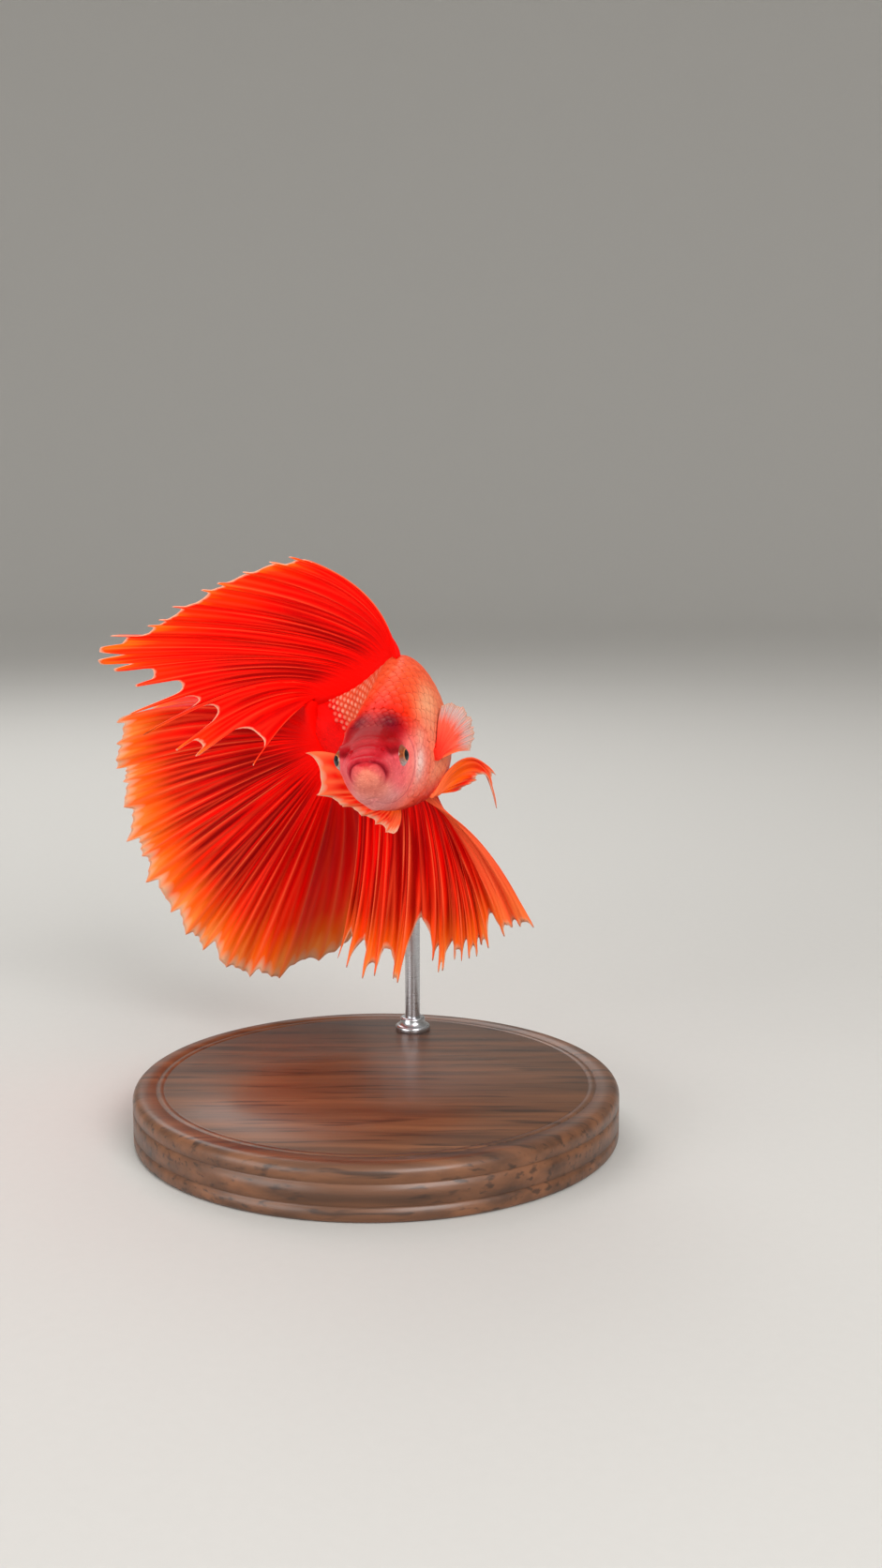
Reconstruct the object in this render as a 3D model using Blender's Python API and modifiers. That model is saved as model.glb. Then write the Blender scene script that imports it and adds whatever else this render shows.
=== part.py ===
"""Male halfmoon betta, a Siamese fighting fish, as a still life-size model on a display stand.

Sizes are in millimetres until a mesh is made. The fish is laid out in its own frame: the snout at
the origin, the head facing -Y, the left side towards +X. SNOUT then lifts it over the stand, whose
underside is the floor at z = 0 with the origin at its centre.
"""
import math

import bmesh
import bpy
import numpy as np
from mathutils import Matrix, Vector

MM = 0.001
GAP = 0.3                      # clearance between neighbouring pieces
SNOUT = np.array((0.0, -26.0, 45.0))

# ---- body: the spine bends, dips and rolls as smooth steps between two places along it
LENGTH = 42.0                  # standard length, snout to tail root
HEAD_YAW = 5.0
NECK_TURN = (2.0, 12.0, 11.0)  # from, to, degrees of yaw gained
TAIL_TURN = (15.0, 42.0, -74.0)
CHEST_RISE = (4.0, 14.0, 4.0)
TAIL_DIP = (18.0, 36.0, -17.0)
HEAD_ROLL = 5.5
TAIL_ROLL = (8.0, 42.0, 18.5)
# place along the spine, height above it, depth below it, half width
SECTIONS = (
    (0.0, 0.25, 0.35, 0.5),
    (0.3, 0.55, 0.85, 1.0),
    (1.0, 1.0, 1.7, 1.65),
    (2.0, 1.5, 2.5, 2.2),
    (4.5, 2.6, 4.2, 3.1),
    (8.0, 3.9, 5.5, 3.85),
    (12.0, 5.4, 6.4, 4.15),
    (17.0, 7.2, 6.9, 4.2),
    (22.0, 8.1, 7.0, 3.9),
    (28.0, 7.2, 6.4, 3.1),
    (34.0, 5.7, 5.5, 2.1),
    (42.0, 4.7, 4.8, 1.1),
)
TAIL_BOW = 1.2                 # how far the tail root bulges back at mid height
NECK_CUT = 12.95
WAIST_CUT = 28.0
AROUND = 18                    # facets round the body

# ---- head
EYE_RADIUS = 1.5
EYE_PLACE = 4.6                # along the spine
EYE_HEIGHT = 0.3
EYE_OUT = 2.2                  # from the mid-plane to the eyeball's centre
GAPE_START = (0.3, 0.7)        # the mouth's apex: place along the spine, height
GAPE_SLOPE = 52.0              # degrees that the gape falls towards the throat
GILL_FRONT = 7.0
GILL_REAR = 12.1
GILL_SPAN = (52.0, 146.0)      # degrees round the body from the crown
GILL_THICK = 0.7

# ---- fins: a fan of bowed rays. A station is its place along the fin's root, then the bow point
# and the tip of the ray there, each as (length, rise, lean). Rise is the angle above the line of
# the body, lean the angle out of its mid-plane towards the left.
FIN_THICK = 0.5
ROOT_GAP = 0.45                # from the body's surface to the middle of a fin's root
DORSAL_ROOT = (20.5, 36.5)
DORSAL_HEEL = 3.6  # how much further back the last rays are rooted
DORSAL_FRAME = 27.0
DORSAL_RAYS = (
    (0.0, (8.5, 63, 13), (16.5, 51, -17)),
    (0.2, (8.5, 55, -4), (20.5, 46, -31)),
    (0.4, (8.5, 45, -18), (25.5, 40, -41)),
    (0.6, (9.5, 42, -25), (30.0, 35, -48)),
    (0.75, (9.0, 38, -26), (33.0, 30, -51)),
    (0.88, (9.7, 44, -36), (26.4, 15, -56)),
    (0.95, (6.0, 53, -46), (18.3, -9, -58)),
    (1.0, (4.8, 47, -84), (10.2, -66, -54)),
)
# place along the root, reach of the ray tip there, reach of the web between it and the next tip
DORSAL_TIPS = (
    (0.0, 1.005, 0.955),
    (0.09, 1.025, 0.97),
    (0.21, 1.0, 0.965),
    (0.3, 0.995, 0.96),
    (0.37, 0.99, 0.945),
    (0.48, 0.985, 0.94),
    (0.56, 0.96, 0.935),
    (0.6, 0.965, 0.935),
    (0.68, 0.985, 0.955),
    (0.74, 0.985, 0.945),
    (0.78, 1.0, 0.885),
    (0.84, 0.945, 0.815),
    (0.88, 1.015, 0.795),
    (0.926, 1.055, 0.765),
    (0.953, 0.985, 0.655),
    (1.0, 0.985, 0.985),
)
DORSAL_RIPPLE = (0.45, 9)      # height and number of the sheet's ripples at its margin

CAUDAL_HALF_ROOT = 4.6
CAUDAL_RAYS = (
    (0.0, (15.0, 16, 56), (30.0, 12, 59)),
    (0.12, (16.0, 10, 43), (30.5, 4, 45)),
    (0.24, (18.5, 17, 29), (31.5, 0, 27)),
    (0.36, (16.5, 23, 15), (31.0, 8, 8)),
    (0.5, (15.0, 2, 5), (32.0, -2, 1)),
    (0.64, (15.0, -15, -1), (33.5, -17, -5)),
    (0.78, (16.0, -34, -6), (34.5, -35, -8)),
    (0.9, (16.0, -48, -1), (34.5, -48, -4)),
    (1.0, (14.8, -69, 19), (29.2, -60, 14)),
)
CAUDAL_TEETH = 24
CAUDAL_RIPPLE = (0.6, 13)

ANAL_ROOT = (20.5, 40.5)
ANAL_FRAME = 29.0
ANAL_RAYS = (
    (0.0, (9.5, -57, 45), (24.5, -65, 26)),
    (0.15, (10.5, -66, 25), (23.5, -65, 14)),
    (0.33, (12.5, -73, 11), (24.0, -68, 1)),
    (0.5, (12.5, -74, 3), (25.0, -69, -6)),
    (0.65, (12.5, -73, -6), (26.0, -70, -14)),
    (0.82, (12.5, -72, -12), (25.5, -70, -17)),
    (1.0, (12.5, -73, -12), (23.5, -68, -19)),
)
ANAL_TIPS = (
    (0.0, 1.0, 0.93),
    (0.07, 0.96, 0.93),
    (0.115, 0.97, 0.93),
    (0.155, 0.99, 0.85),
    (0.24, 0.95, 0.92),
    (0.28, 1.01, 0.93),
    (0.33, 0.96, 0.91),
    (0.41, 0.965, 0.86),
    (0.47, 1.0, 0.84),
    (0.51, 0.99, 0.73),
    (0.655, 1.0, 0.84),
    (0.8, 0.995, 0.96),
    (0.84, 1.01, 0.84),
    (0.93, 1.0, 0.85),
    (1.0, 1.0, 0.98),
)
ANAL_RIPPLE = (0.5, 11)

PECTORAL_PLACE = 13.6
PECTORAL_SPAN = (92.0, 118.0)  # degrees round the body from the crown
PECTORAL_LEFT_RAYS = (
    (0.0, (3.0, 51, -2), (5.5, 35, -3)),
    (0.25, (4.0, 38, 7), (7.5, 29, 6)),
    (0.5, (4.0, 33, 16), (7.5, 23, 16)),
    (0.75, (3.5, 36, 24), (7.0, 18, 21)),
    (1.0, (3.0, 45, 31), (5.5, 12, 27)),
)
PECTORAL_RIGHT_RAYS = (
    (0.0, (4.0, 26, -15), (7.5, 20, -9)),
    (0.5, (4.0, 15, -16), (7.5, 12, -10)),
    (1.0, (3.0, 4, -16), (6.0, 5, -10)),
)
PELVIC_PLACE = (16.4, 17.8)
PELVIC_ANGLE = 152.0
PELVIC_LEFT_RAYS = (
    (0.0, (8.0, 50, 25), (12.3, -4, 20)),
    (0.3, (10.5, 36, 25), (12.9, -20, 16)),
    (0.65, (5.0, 26, 30), (7.6, 0, 20)),
    (1.0, (2.0, 2, 33), (5.0, -4, 16)),
)
PELVIC_LEFT_TIPS = (
    (0.0, 1.0, 0.88),
    (0.3, 1.02, 0.7),
    (0.65, 1.0, 0.9),
    (1.0, 1.0, 1.0),
)
PELVIC_RIGHT_RAYS = (
    (0.0, (7.5, 64, -31), (11.5, 59, -55)),
    (0.3, (4.0, 54, -60), (9.5, 20, -71)),
    (0.55, (2.5, -9, -64), (6.5, -20, -68)),
    (0.78, (2.0, -60, -34), (4.5, -59, -49)),
    (1.0, (2.0, -74, 8), (4.0, -79, -14)),
)
PELVIC_RIGHT_TIPS = (
    (0.0, 1.02, 0.9),
    (0.3, 1.03, 0.93),
    (0.55, 1.0, 0.93),
    (0.78, 1.0, 0.93),
    (1.0, 1.02, 1.0),
)

# ---- display stand
BASE_RADIUS = 27.0
BASE_THICK = 6.0
BASE_EDGE = 1.0
ROD_RADIUS = 0.9
ROD_FOOT = (3.7, 19.0)         # on the base, from its centre
ROD_PLACE = 33.0               # where the rod meets the left flank, along the spine
ROD_ANGLE = 97.0               # degrees round the body from the crown
ROD_BEND = 12.0                # height of the quarter turn at the rod's top
ROD_SINK = 1.4                 # how deep the rod runs into the flank
ROD_HOLE = 4.0                 # depth of its hole in the base

# ---- colours: base colour, roughness, metallic
FINISHES = {
    "scarlet_skin": ((0.80, 0.10, 0.05), 0.42, 0.0),
    "blush_cheek": ((0.86, 0.32, 0.27), 0.38, 0.0),
    "crimson_fin": ((0.75, 0.01, 0.01), 0.45, 0.0),
    "clear_fin": ((0.80, 0.42, 0.38), 0.40, 0.0),
    "dark_eye": ((0.03, 0.02, 0.02), 0.10, 0.0),
    "walnut": ((0.12, 0.06, 0.03), 0.45, 0.0),
    "steel": ((0.62, 0.62, 0.64), 0.28, 1.0),
}


# ------------------------------------------------------------------------------ curves
def smooth_step(low, high, x):
    """0 below low, 1 above high and 3t^2 - 2t^3 between them."""
    t = np.clip((np.asarray(x, float) - low) / (high - low), 0.0, 1.0)
    return t * t * (3.0 - 2.0 * t)


def through(stations, x):
    """Cubic Hermite curve through rows of (x, values...), with finite difference tangents."""
    rows = np.array(stations, float)
    places, values = rows[:, 0], rows[:, 1:]
    slopes = np.gradient(values, places, axis=0)
    x = np.asarray(x, float)
    i = np.clip(np.searchsorted(places, x, side="right") - 1, 0, len(places) - 2)
    step = (places[i + 1] - places[i])[..., None]
    t = np.clip((x - places[i])[..., None] / step, 0.0, 1.0)
    start = (2 * t**3 - 3 * t**2 + 1) * values[i] + (t**3 - 2 * t**2 + t) * step * slopes[i]
    end = (3 * t**2 - 2 * t**3) * values[i + 1] + (t**3 - t**2) * step * slopes[i + 1]
    return start + end


def unit(vectors):
    return vectors / np.linalg.norm(vectors, axis=-1, keepdims=True)


def spine_table(count=421):
    """Places along the spine with their point and their back, left and up directions."""
    s = np.linspace(0.0, LENGTH, count)
    turn = [amount * smooth_step(start, end, s) for start, end, amount in (NECK_TURN, TAIL_TURN)]
    yaw = np.radians(HEAD_YAW + sum(turn))
    dip = [amount * smooth_step(start, end, s) for start, end, amount in (CHEST_RISE, TAIL_DIP)]
    pitch = np.radians(sum(dip))
    back = np.stack(
        [np.sin(yaw) * np.cos(pitch), np.cos(yaw) * np.cos(pitch), np.sin(pitch)], axis=1
    )
    steps = (back[1:] + back[:-1]) / 2.0 * (s[1] - s[0])
    points = np.concatenate([np.zeros((1, 3)), np.cumsum(steps, axis=0)])
    start, end, amount = TAIL_ROLL
    roll = np.radians(HEAD_ROLL + amount * smooth_step(start, end, s))[:, None]
    level = unit(np.cross(back, (0.0, 0.0, 1.0)))
    upright = np.cross(level, back)
    left = level * np.cos(roll) + upright * np.sin(roll)
    up = upright * np.cos(roll) - level * np.sin(roll)
    return s, (points, back, left, up)


SPINE = spine_table()


def spine(s):
    """Point, back, left and up at places along the spine."""
    places, columns = SPINE
    found = [
        np.stack([np.interp(s, places, column[:, k]) for k in range(3)], axis=-1)
        for column in columns
    ]
    return found[0], unit(found[1]), unit(found[2]), unit(found[3])


def body(s, angle, out=0.0):
    """Skin at a place along the spine and an angle from the crown, towards the left side."""
    s, angle = np.broadcast_arrays(np.asarray(s, float), np.radians(angle))
    height, depth, width = np.moveaxis(through(SECTIONS, s), -1, 0)
    across, upward = np.sin(angle), np.cos(angle)
    x = (width + out) * np.sign(across) * np.abs(across) ** 0.95
    z = np.where(upward > 0.0, height + out, depth + out) * upward
    point, back, left, up = spine(s)
    bow = TAIL_BOW * across**2 * smooth_step(36.0, LENGTH, s)
    return point + left * x[..., None] + up * z[..., None] + back * bow[..., None]


# ------------------------------------------------------------------------------ fins
def aim(polar, frame):
    """Vectors of given (length, rise, lean) in a frame of back, left and up directions."""
    back, left, up = frame
    length = polar[..., 0]
    rise, lean = np.radians(polar[..., 1]), np.radians(polar[..., 2])
    along = length * np.cos(lean) * np.cos(rise)
    high = length * np.cos(lean) * np.sin(rise)
    aside = length * np.sin(lean)
    return along[..., None] * back + high[..., None] * up + aside[..., None] * left


def frame_at(s):
    return [direction for direction in spine(float(s))[1:]]


def web_margin(tips, shares):
    """Places and reach along a margin: cubic U-shaped webs hang between pointed ray tips."""
    places, reach = [], []
    for (place, tip, web), (next_place, next_tip, _) in zip(tips, tips[1:]):
        for share in shares:
            edge = tip if share < 0.5 else next_tip
            places.append(place + share * (next_place - place))
            reach.append(web + (edge - web) * abs(2.0 * share - 1.0) ** 3)
    places.append(tips[-1][0])
    reach.append(tips[-1][1])
    return np.array(places), np.array(reach)


def fin_sheet(root, rays, margin, frame, rows, ripple=(0.0, 1)):
    """Grid of points: each column is the quadratic Bezier of its ray, cut at the margin's reach."""
    places, reach = margin
    stations = [(place, *bow, *tip) for place, bow, tip in rays]
    polar = through(stations, places)
    start = root(places)
    bow = start + aim(polar[:, :3], frame)
    tip = start + aim(polar[:, 3:], frame)
    t = np.linspace(0.0, 1.0, rows)[None, :, None] * reach[:, None, None]
    sheet = start[:, None] * (1 - t) ** 2 + bow[:, None] * 2 * t * (1 - t) + tip[:, None] * t**2
    normal = unit(np.cross(np.gradient(sheet, axis=0), np.gradient(sheet, axis=1)))
    height, count = ripple
    wave = height * np.sin(2.0 * np.pi * count * places)[:, None, None] * t**1.5
    return sheet + normal * wave


def grid_faces(columns, rows):
    corner = np.arange(columns * rows).reshape(columns, rows)
    quads = [corner[:-1, :-1], corner[1:, :-1], corner[1:, 1:], corner[:-1, 1:]]
    return np.stack(quads, axis=-1).reshape(-1, 4).tolist()


# ------------------------------------------------------------------------------ objects
def clear_scene():
    for item in list(bpy.data.objects):
        bpy.data.objects.remove(item, do_unlink=True)


def collection(name):
    made = bpy.data.collections.new(name)
    bpy.context.scene.collection.children.link(made)
    return made


def finish_material(name):
    material = bpy.data.materials.get(name)
    if material:
        return material
    colour, roughness, metallic = FINISHES[name]
    material = bpy.data.materials.new(name)
    material.use_nodes = True
    shader = material.node_tree.nodes["Principled BSDF"]
    shader.inputs["Base Color"].default_value = (*colour, 1.0)
    shader.inputs["Roughness"].default_value = roughness
    shader.inputs["Metallic"].default_value = metallic
    return material


def add_object(name, mesh, group, finish=None):
    item = bpy.data.objects.new(name, mesh)
    group.objects.link(item)
    if finish:
        item.data.materials.append(finish_material(finish))
        item.data.shade_smooth()
        item.data.set_sharp_from_angle(angle=math.radians(40.0))
    else:
        item.hide_render = True
        item.display_type = "WIRE"
    return item


def mesh_from(name, points, faces, facing=None):
    """Mesh of points in the fish's frame, turned so that its first face looks along facing."""
    mesh = bpy.data.meshes.new(name)
    mesh.from_pydata(((points.reshape(-1, 3) + SNOUT) * MM).tolist(), [], faces)
    mesh.update()
    if facing is not None and mesh.polygons[len(faces) // 2].normal.dot(Vector(facing)) < 0.0:
        mesh.flip_normals()
    return mesh


def cut(item, cutter, operation="DIFFERENCE"):
    modifier = item.modifiers.new(cutter.name, "BOOLEAN")
    modifier.operation = operation
    modifier.solver = "EXACT"
    modifier.object = cutter


def thicken(item, thickness, offset=0.0):
    modifier = item.modifiers.new("thickness", "SOLIDIFY")
    modifier.thickness = thickness * MM
    modifier.offset = offset


def body_loft(name, places):
    """Closed loft of the body between two flat cuts, each cap a ladder of quads."""
    angles = np.arange(AROUND) * 360.0 / AROUND
    points = body(np.array(places)[:, None], angles[None, :])
    ring = np.arange(AROUND)
    faces = []
    for k in range(len(places) - 1):
        low, high = k * AROUND, (k + 1) * AROUND
        for a, b in zip(ring, np.roll(ring, -1)):
            faces.append((low + a, low + b, high + b, high + a))
    last = (len(places) - 1) * AROUND
    for k in range(AROUND // 2):
        near, far = AROUND - k, AROUND - k - 1
        rung = list(dict.fromkeys((k, k + 1, far, near % AROUND)))
        faces.append(tuple(int(v) for v in rung[::-1]))
        faces.append(tuple(int(last + v) for v in rung))
    mesh = mesh_from(name, points, [tuple(int(v) for v in face) for face in faces])
    work = bmesh.new()
    work.from_mesh(mesh)
    bmesh.ops.recalc_face_normals(work, faces=work.faces)
    work.to_mesh(mesh)
    work.free()
    return mesh


def cylinder(name, start, end, radius, sides):
    """Round bar between two points in the fish's frame."""
    start, end = Vector((start + SNOUT) * MM), Vector((end + SNOUT) * MM)
    axis = end - start
    turn = axis.to_track_quat("Z", "Y").to_matrix().to_4x4()
    place = Matrix.Translation((start + end) / 2.0) @ turn
    work = bmesh.new()
    bmesh.ops.create_cone(
        work, cap_ends=True, segments=sides, radius1=radius * MM, radius2=radius * MM,
        depth=axis.length, matrix=place,
    )
    mesh = bpy.data.meshes.new(name)
    work.to_mesh(mesh)
    work.free()
    return mesh


def ball(name, centre, radius, segments, rings):
    work = bmesh.new()
    place = Matrix.Translation(Vector((centre + SNOUT) * MM))
    bmesh.ops.create_uvsphere(
        work, u_segments=segments, v_segments=rings, radius=radius * MM, matrix=place
    )
    mesh = bpy.data.meshes.new(name)
    work.to_mesh(mesh)
    work.free()
    return mesh


# ------------------------------------------------------------------------------ head
def gape_box(name, drop, group):
    """Block under the gape plane, which falls from the mouth's apex back to the throat."""
    place, height = GAPE_START
    point, back, left, up = spine(place)
    apex = point + up * height
    slope = math.radians(GAPE_SLOPE)
    along = back * math.cos(slope) - up * math.sin(slope)
    under = -(back * math.sin(slope) + up * math.cos(slope))
    half_width, before, after, deep = 6.0, 3.0, 9.0, 9.0
    middle = apex + along * (after - before) / 2.0 + under * (drop + deep / 2.0)
    turn = Matrix((left, along, -under)).transposed().to_4x4()
    size = Matrix.Diagonal((2 * half_width, before + after, deep, 1.0 / MM)) * MM
    work = bmesh.new()
    where = Matrix.Translation(Vector((middle + SNOUT) * MM)) @ turn @ size
    bmesh.ops.create_cube(work, size=1.0, matrix=where)
    bmesh.ops.recalc_face_normals(work, faces=work.faces)
    mesh = bpy.data.meshes.new(name)
    work.to_mesh(mesh)
    work.free()
    return add_object(name, mesh, group)


def gill_sheet(name, side, out, margin):
    """D-shaped patch of the cheek's skin, its rear edge a parabola, grown by margin all round."""
    first, last = GILL_SPAN
    spread = margin * 11.0     # degrees that the margin covers on the cheek
    b = np.linspace(0.0, 1.0, 7)
    angle = (first - spread) + b * (last - first + 2.0 * spread)
    hollow = (2.0 * b - 1.0) ** 2
    front = GILL_FRONT - margin + 0.5 * hollow
    rear = GILL_REAR + margin - 1.6 * hollow
    a = np.linspace(0.0, 1.0, 6)[:, None]
    points = body(front + a * (rear - front), side * angle[None, :] + 0.0 * a, out)
    facing = spine(GILL_FRONT)[2] * side
    return mesh_from(name, points, grid_faces(6, 7), facing)


def make_head(parts, cutters):
    places = (0.0, 0.3, 0.7, 1.3, 2.0, 3.0, 4.2, 5.5, 7.0, 8.6, 10.2, 11.7, NECK_CUT - GAP / 2)
    head = add_object("head", body_loft("head", places), parts, "blush_cheek")
    cut(head, gape_box("gape_cutter", 0.0, cutters))
    jaw = add_object("lower_jaw", body_loft("lower_jaw", places[:8]), parts, "blush_cheek")
    cut(jaw, gape_box("jaw_keeper", GAP, cutters), "INTERSECT")
    point, _, left, up = spine(EYE_PLACE)
    for side_name, side in (("left", 1), ("right", -1)):
        centre = point + up * EYE_HEIGHT + left * EYE_OUT * side
        socket = ball("socket_" + side_name, centre, EYE_RADIUS + GAP, 12, 8)
        cut(head, add_object("socket_" + side_name, socket, cutters))
        eye = ball("eye_" + side_name, centre, EYE_RADIUS, 14, 9)
        add_object("eye_" + side_name, eye, parts, "dark_eye")
        bed = gill_sheet("gill_bed_" + side_name, side, 0.6, GAP)
        bed_cutter = add_object("gill_bed_" + side_name, bed, cutters)
        thicken(bed_cutter, 0.6 + GILL_THICK + GAP, -1.0)
        cut(head, bed_cutter)
        cover = gill_sheet("gill_cover_" + side_name, side, 0.0, 0.0)
        plate = add_object("gill_cover_" + side_name, cover, parts, "blush_cheek")
        thicken(plate, GILL_THICK, -1.0)


# ------------------------------------------------------------------------------ trunk and tail
def rod_ends():
    """Centre of the rod's foot on the base, its end inside the flank, and the level way between."""
    foot = np.array((*ROD_FOOT, BASE_THICK)) - SNOUT
    flank = body(ROD_PLACE, ROD_ANGLE)
    way = unit((flank - foot) * (1.0, 1.0, 0.0))
    return foot, flank + way * ROD_SINK, way


def make_trunk(parts):
    step = 1.85
    places = np.append(np.arange(NECK_CUT + GAP / 2, WAIST_CUT - step, step), WAIST_CUT - GAP / 2)
    add_object("trunk", body_loft("trunk", places), parts, "scarlet_skin")


def make_tail(parts, cutters):
    places = np.append(np.arange(WAIST_CUT + GAP / 2, LENGTH - 1.0, 1.6), LENGTH)
    tail = add_object("tail", body_loft("tail", places), parts, "scarlet_skin")
    _, end, way = rod_ends()
    hole = cylinder("rod_socket", end + way * GAP, end - way * 4.0, ROD_RADIUS + GAP, 16)
    cut(tail, add_object("rod_socket", hole, cutters))


# ------------------------------------------------------------------------------ fins
def add_fin(name, sheet, parts, finish):
    columns, rows = sheet.shape[:2]
    mesh = mesh_from(name, sheet, grid_faces(columns, rows))
    thicken(add_object(name, mesh, parts, finish), FIN_THICK)


def caudal_root(places):
    """Upright root at the tail's end, bowed back like the tail itself."""
    point, back, _, up = spine(LENGTH + 0.0 * places)
    high = 1.0 - 2.0 * places
    bow = GAP + FIN_THICK / 2.0 + TAIL_BOW * (1.0 - high**2)
    return point + up * (CAUDAL_HALF_ROOT * high)[:, None] + back * bow[:, None]


def caudal_tips():
    """Even teeth; the folded upper lobe has a smoother rim than the open fan."""
    tips = []
    for k in range(CAUDAL_TEETH + 1):
        place = k / CAUDAL_TEETH
        open_share = float(smooth_step(0.25, 0.4, place))
        tall = 0.018 * math.sin(2.4 * k) * open_share
        tips.append((place, 1.0 + tall, 0.985 - 0.02 * open_share))
    return tips


def make_median_fins(parts):
    shares = (0.0, 0.22, 0.5, 0.78)
    first, last = DORSAL_ROOT
    sheet = fin_sheet(
        lambda u: body(
            first + (last - first) * u + DORSAL_HEEL * smooth_step(0.8, 1.0, u), 0.0, ROOT_GAP
        ), DORSAL_RAYS,
        web_margin(DORSAL_TIPS, shares), frame_at(DORSAL_FRAME), 7, DORSAL_RIPPLE,
    )
    add_fin("dorsal_fin", sheet, parts, "crimson_fin")
    start, end = ANAL_ROOT
    sheet = fin_sheet(
        lambda u: body(start + (end - start) * u, 180.0, ROOT_GAP), ANAL_RAYS,
        web_margin(ANAL_TIPS, shares), frame_at(ANAL_FRAME), 7, ANAL_RIPPLE,
    )
    add_fin("anal_fin", sheet, parts, "crimson_fin")
    sheet = fin_sheet(
        caudal_root, CAUDAL_RAYS, web_margin(caudal_tips(), (0.0, 0.3, 0.7)),
        frame_at(LENGTH), 7, CAUDAL_RIPPLE,
    )
    add_fin("caudal_fin", sheet, parts, "crimson_fin")


def make_paired_fins(parts):
    low, high = PECTORAL_SPAN
    even = np.linspace(0.0, 1.0, 11)
    rounded = (even, 1.0 + 0.0 * even)
    forward, aft = PELVIC_PLACE
    pectoral_frame, pelvic_frame = frame_at(13.0), frame_at(18.0)
    out = ROOT_GAP + 0.15
    for name, side, rays in (("left", 1, PECTORAL_LEFT_RAYS), ("right", -1, PECTORAL_RIGHT_RAYS)):
        sheet = fin_sheet(
            lambda u: body(PECTORAL_PLACE + 0.4 * u, side * (low + (high - low) * u), out),
            rays, rounded, pectoral_frame, 6,
        )
        add_fin("pectoral_fin_" + name, sheet, parts, "clear_fin")
    for name, side, rays, tips in (
        ("left", 1, PELVIC_LEFT_RAYS, PELVIC_LEFT_TIPS),
        ("right", -1, PELVIC_RIGHT_RAYS, PELVIC_RIGHT_TIPS),
    ):
        sheet = fin_sheet(
            lambda u: body(forward + (aft - forward) * u, side * PELVIC_ANGLE, out),
            rays, web_margin(tips, (0.0, 0.25, 0.5, 0.75)), pelvic_frame, 6,
        )
        add_fin("pelvic_fin_" + name, sheet, parts, "crimson_fin")


# ------------------------------------------------------------------------------ stand
def rod_path():
    """Upright line from the base, then a quarter ellipse that ends level inside the flank."""
    foot, end, _ = rod_ends()
    bottom = foot - (0.0, 0.0, ROD_HOLE - GAP)
    turn = np.linspace(0.0, math.pi / 2.0, 13)[:, None]
    shoulder = np.array((*foot[:2], end[2] - ROD_BEND))
    level, rise = (end - shoulder) * (1.0, 1.0, 0.0), (end - shoulder) * (0.0, 0.0, 1.0)
    arc = shoulder + level * (1.0 - np.cos(turn)) + rise * np.sin(turn)
    return np.concatenate([bottom[None], arc])


def make_stand(parts, cutters):
    foot = rod_ends()[0]
    centre = -SNOUT
    base_mesh = cylinder("stand_base", centre, centre + (0.0, 0.0, BASE_THICK), BASE_RADIUS, 44)
    base = add_object("stand_base", base_mesh, parts, "walnut")
    edge = base.modifiers.new("edge", "BEVEL")
    edge.width = BASE_EDGE * MM
    edge.segments = 1
    deep = np.array((0.0, 0.0, ROD_HOLE))
    hole = cylinder("foot_socket", foot - deep, foot + deep, ROD_RADIUS + GAP, 16)
    cut(base, add_object("foot_socket", hole, cutters))
    curve = bpy.data.curves.new("stand_rod", "CURVE")
    curve.dimensions = "3D"
    curve.bevel_depth = ROD_RADIUS * MM
    curve.bevel_resolution = 2
    curve.use_fill_caps = True
    path = (rod_path() + SNOUT) * MM
    spline = curve.splines.new("POLY")
    spline.points.add(len(path) - 1)
    spline.points.foreach_set("co", np.insert(path, 3, 1.0, axis=1).ravel())
    rod = bpy.data.objects.new("stand_rod", curve)
    curve.materials.append(finish_material("steel"))
    parts.objects.link(rod)


def main():
    clear_scene()
    parts = collection("betta")
    cutters = collection("cutters")
    make_head(parts, cutters)
    make_trunk(parts)
    make_tail(parts, cutters)
    make_median_fins(parts)
    make_paired_fins(parts)
    make_stand(parts, cutters)


if __name__ == "__main__":
    main()
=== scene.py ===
"""Male halfmoon betta as a still life-size model on a turned wooden stand.

Sizes are in millimetres until a mesh is made. The fish is laid out in its own frame: the snout at
the origin, the head facing -Y, the left side towards +X; SNOUT lifts it over the stand.
"""
import math

import bpy
import numpy as np
from bpy.props import FloatProperty, FloatVectorProperty, PointerProperty
from bpy.types import Operator, Panel, PropertyGroup
from mathutils import Euler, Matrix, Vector


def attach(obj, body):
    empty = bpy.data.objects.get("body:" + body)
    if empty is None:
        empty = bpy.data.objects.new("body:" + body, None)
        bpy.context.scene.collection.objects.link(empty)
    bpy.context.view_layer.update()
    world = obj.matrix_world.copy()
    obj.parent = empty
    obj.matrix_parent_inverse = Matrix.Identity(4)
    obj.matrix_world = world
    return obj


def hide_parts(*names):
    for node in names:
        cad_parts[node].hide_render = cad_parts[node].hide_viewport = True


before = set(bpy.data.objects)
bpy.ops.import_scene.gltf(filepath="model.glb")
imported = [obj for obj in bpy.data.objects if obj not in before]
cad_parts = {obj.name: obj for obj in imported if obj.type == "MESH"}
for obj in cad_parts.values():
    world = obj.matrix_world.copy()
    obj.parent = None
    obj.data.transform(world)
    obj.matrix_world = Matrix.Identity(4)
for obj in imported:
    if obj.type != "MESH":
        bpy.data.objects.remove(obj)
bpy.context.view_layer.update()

bl_info = {
    "name": "Halfmoon Betta",
    "version": (1, 0, 0),
    "blender": (4, 5, 0),
    "location": "View3D > Sidebar > Betta",
    "description": "Builds a life-size red halfmoon betta on its display stand",
    "category": "Object",
}

MM = 0.001
SNOUT = np.array((0.0, -26.0, 45.0))

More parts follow.
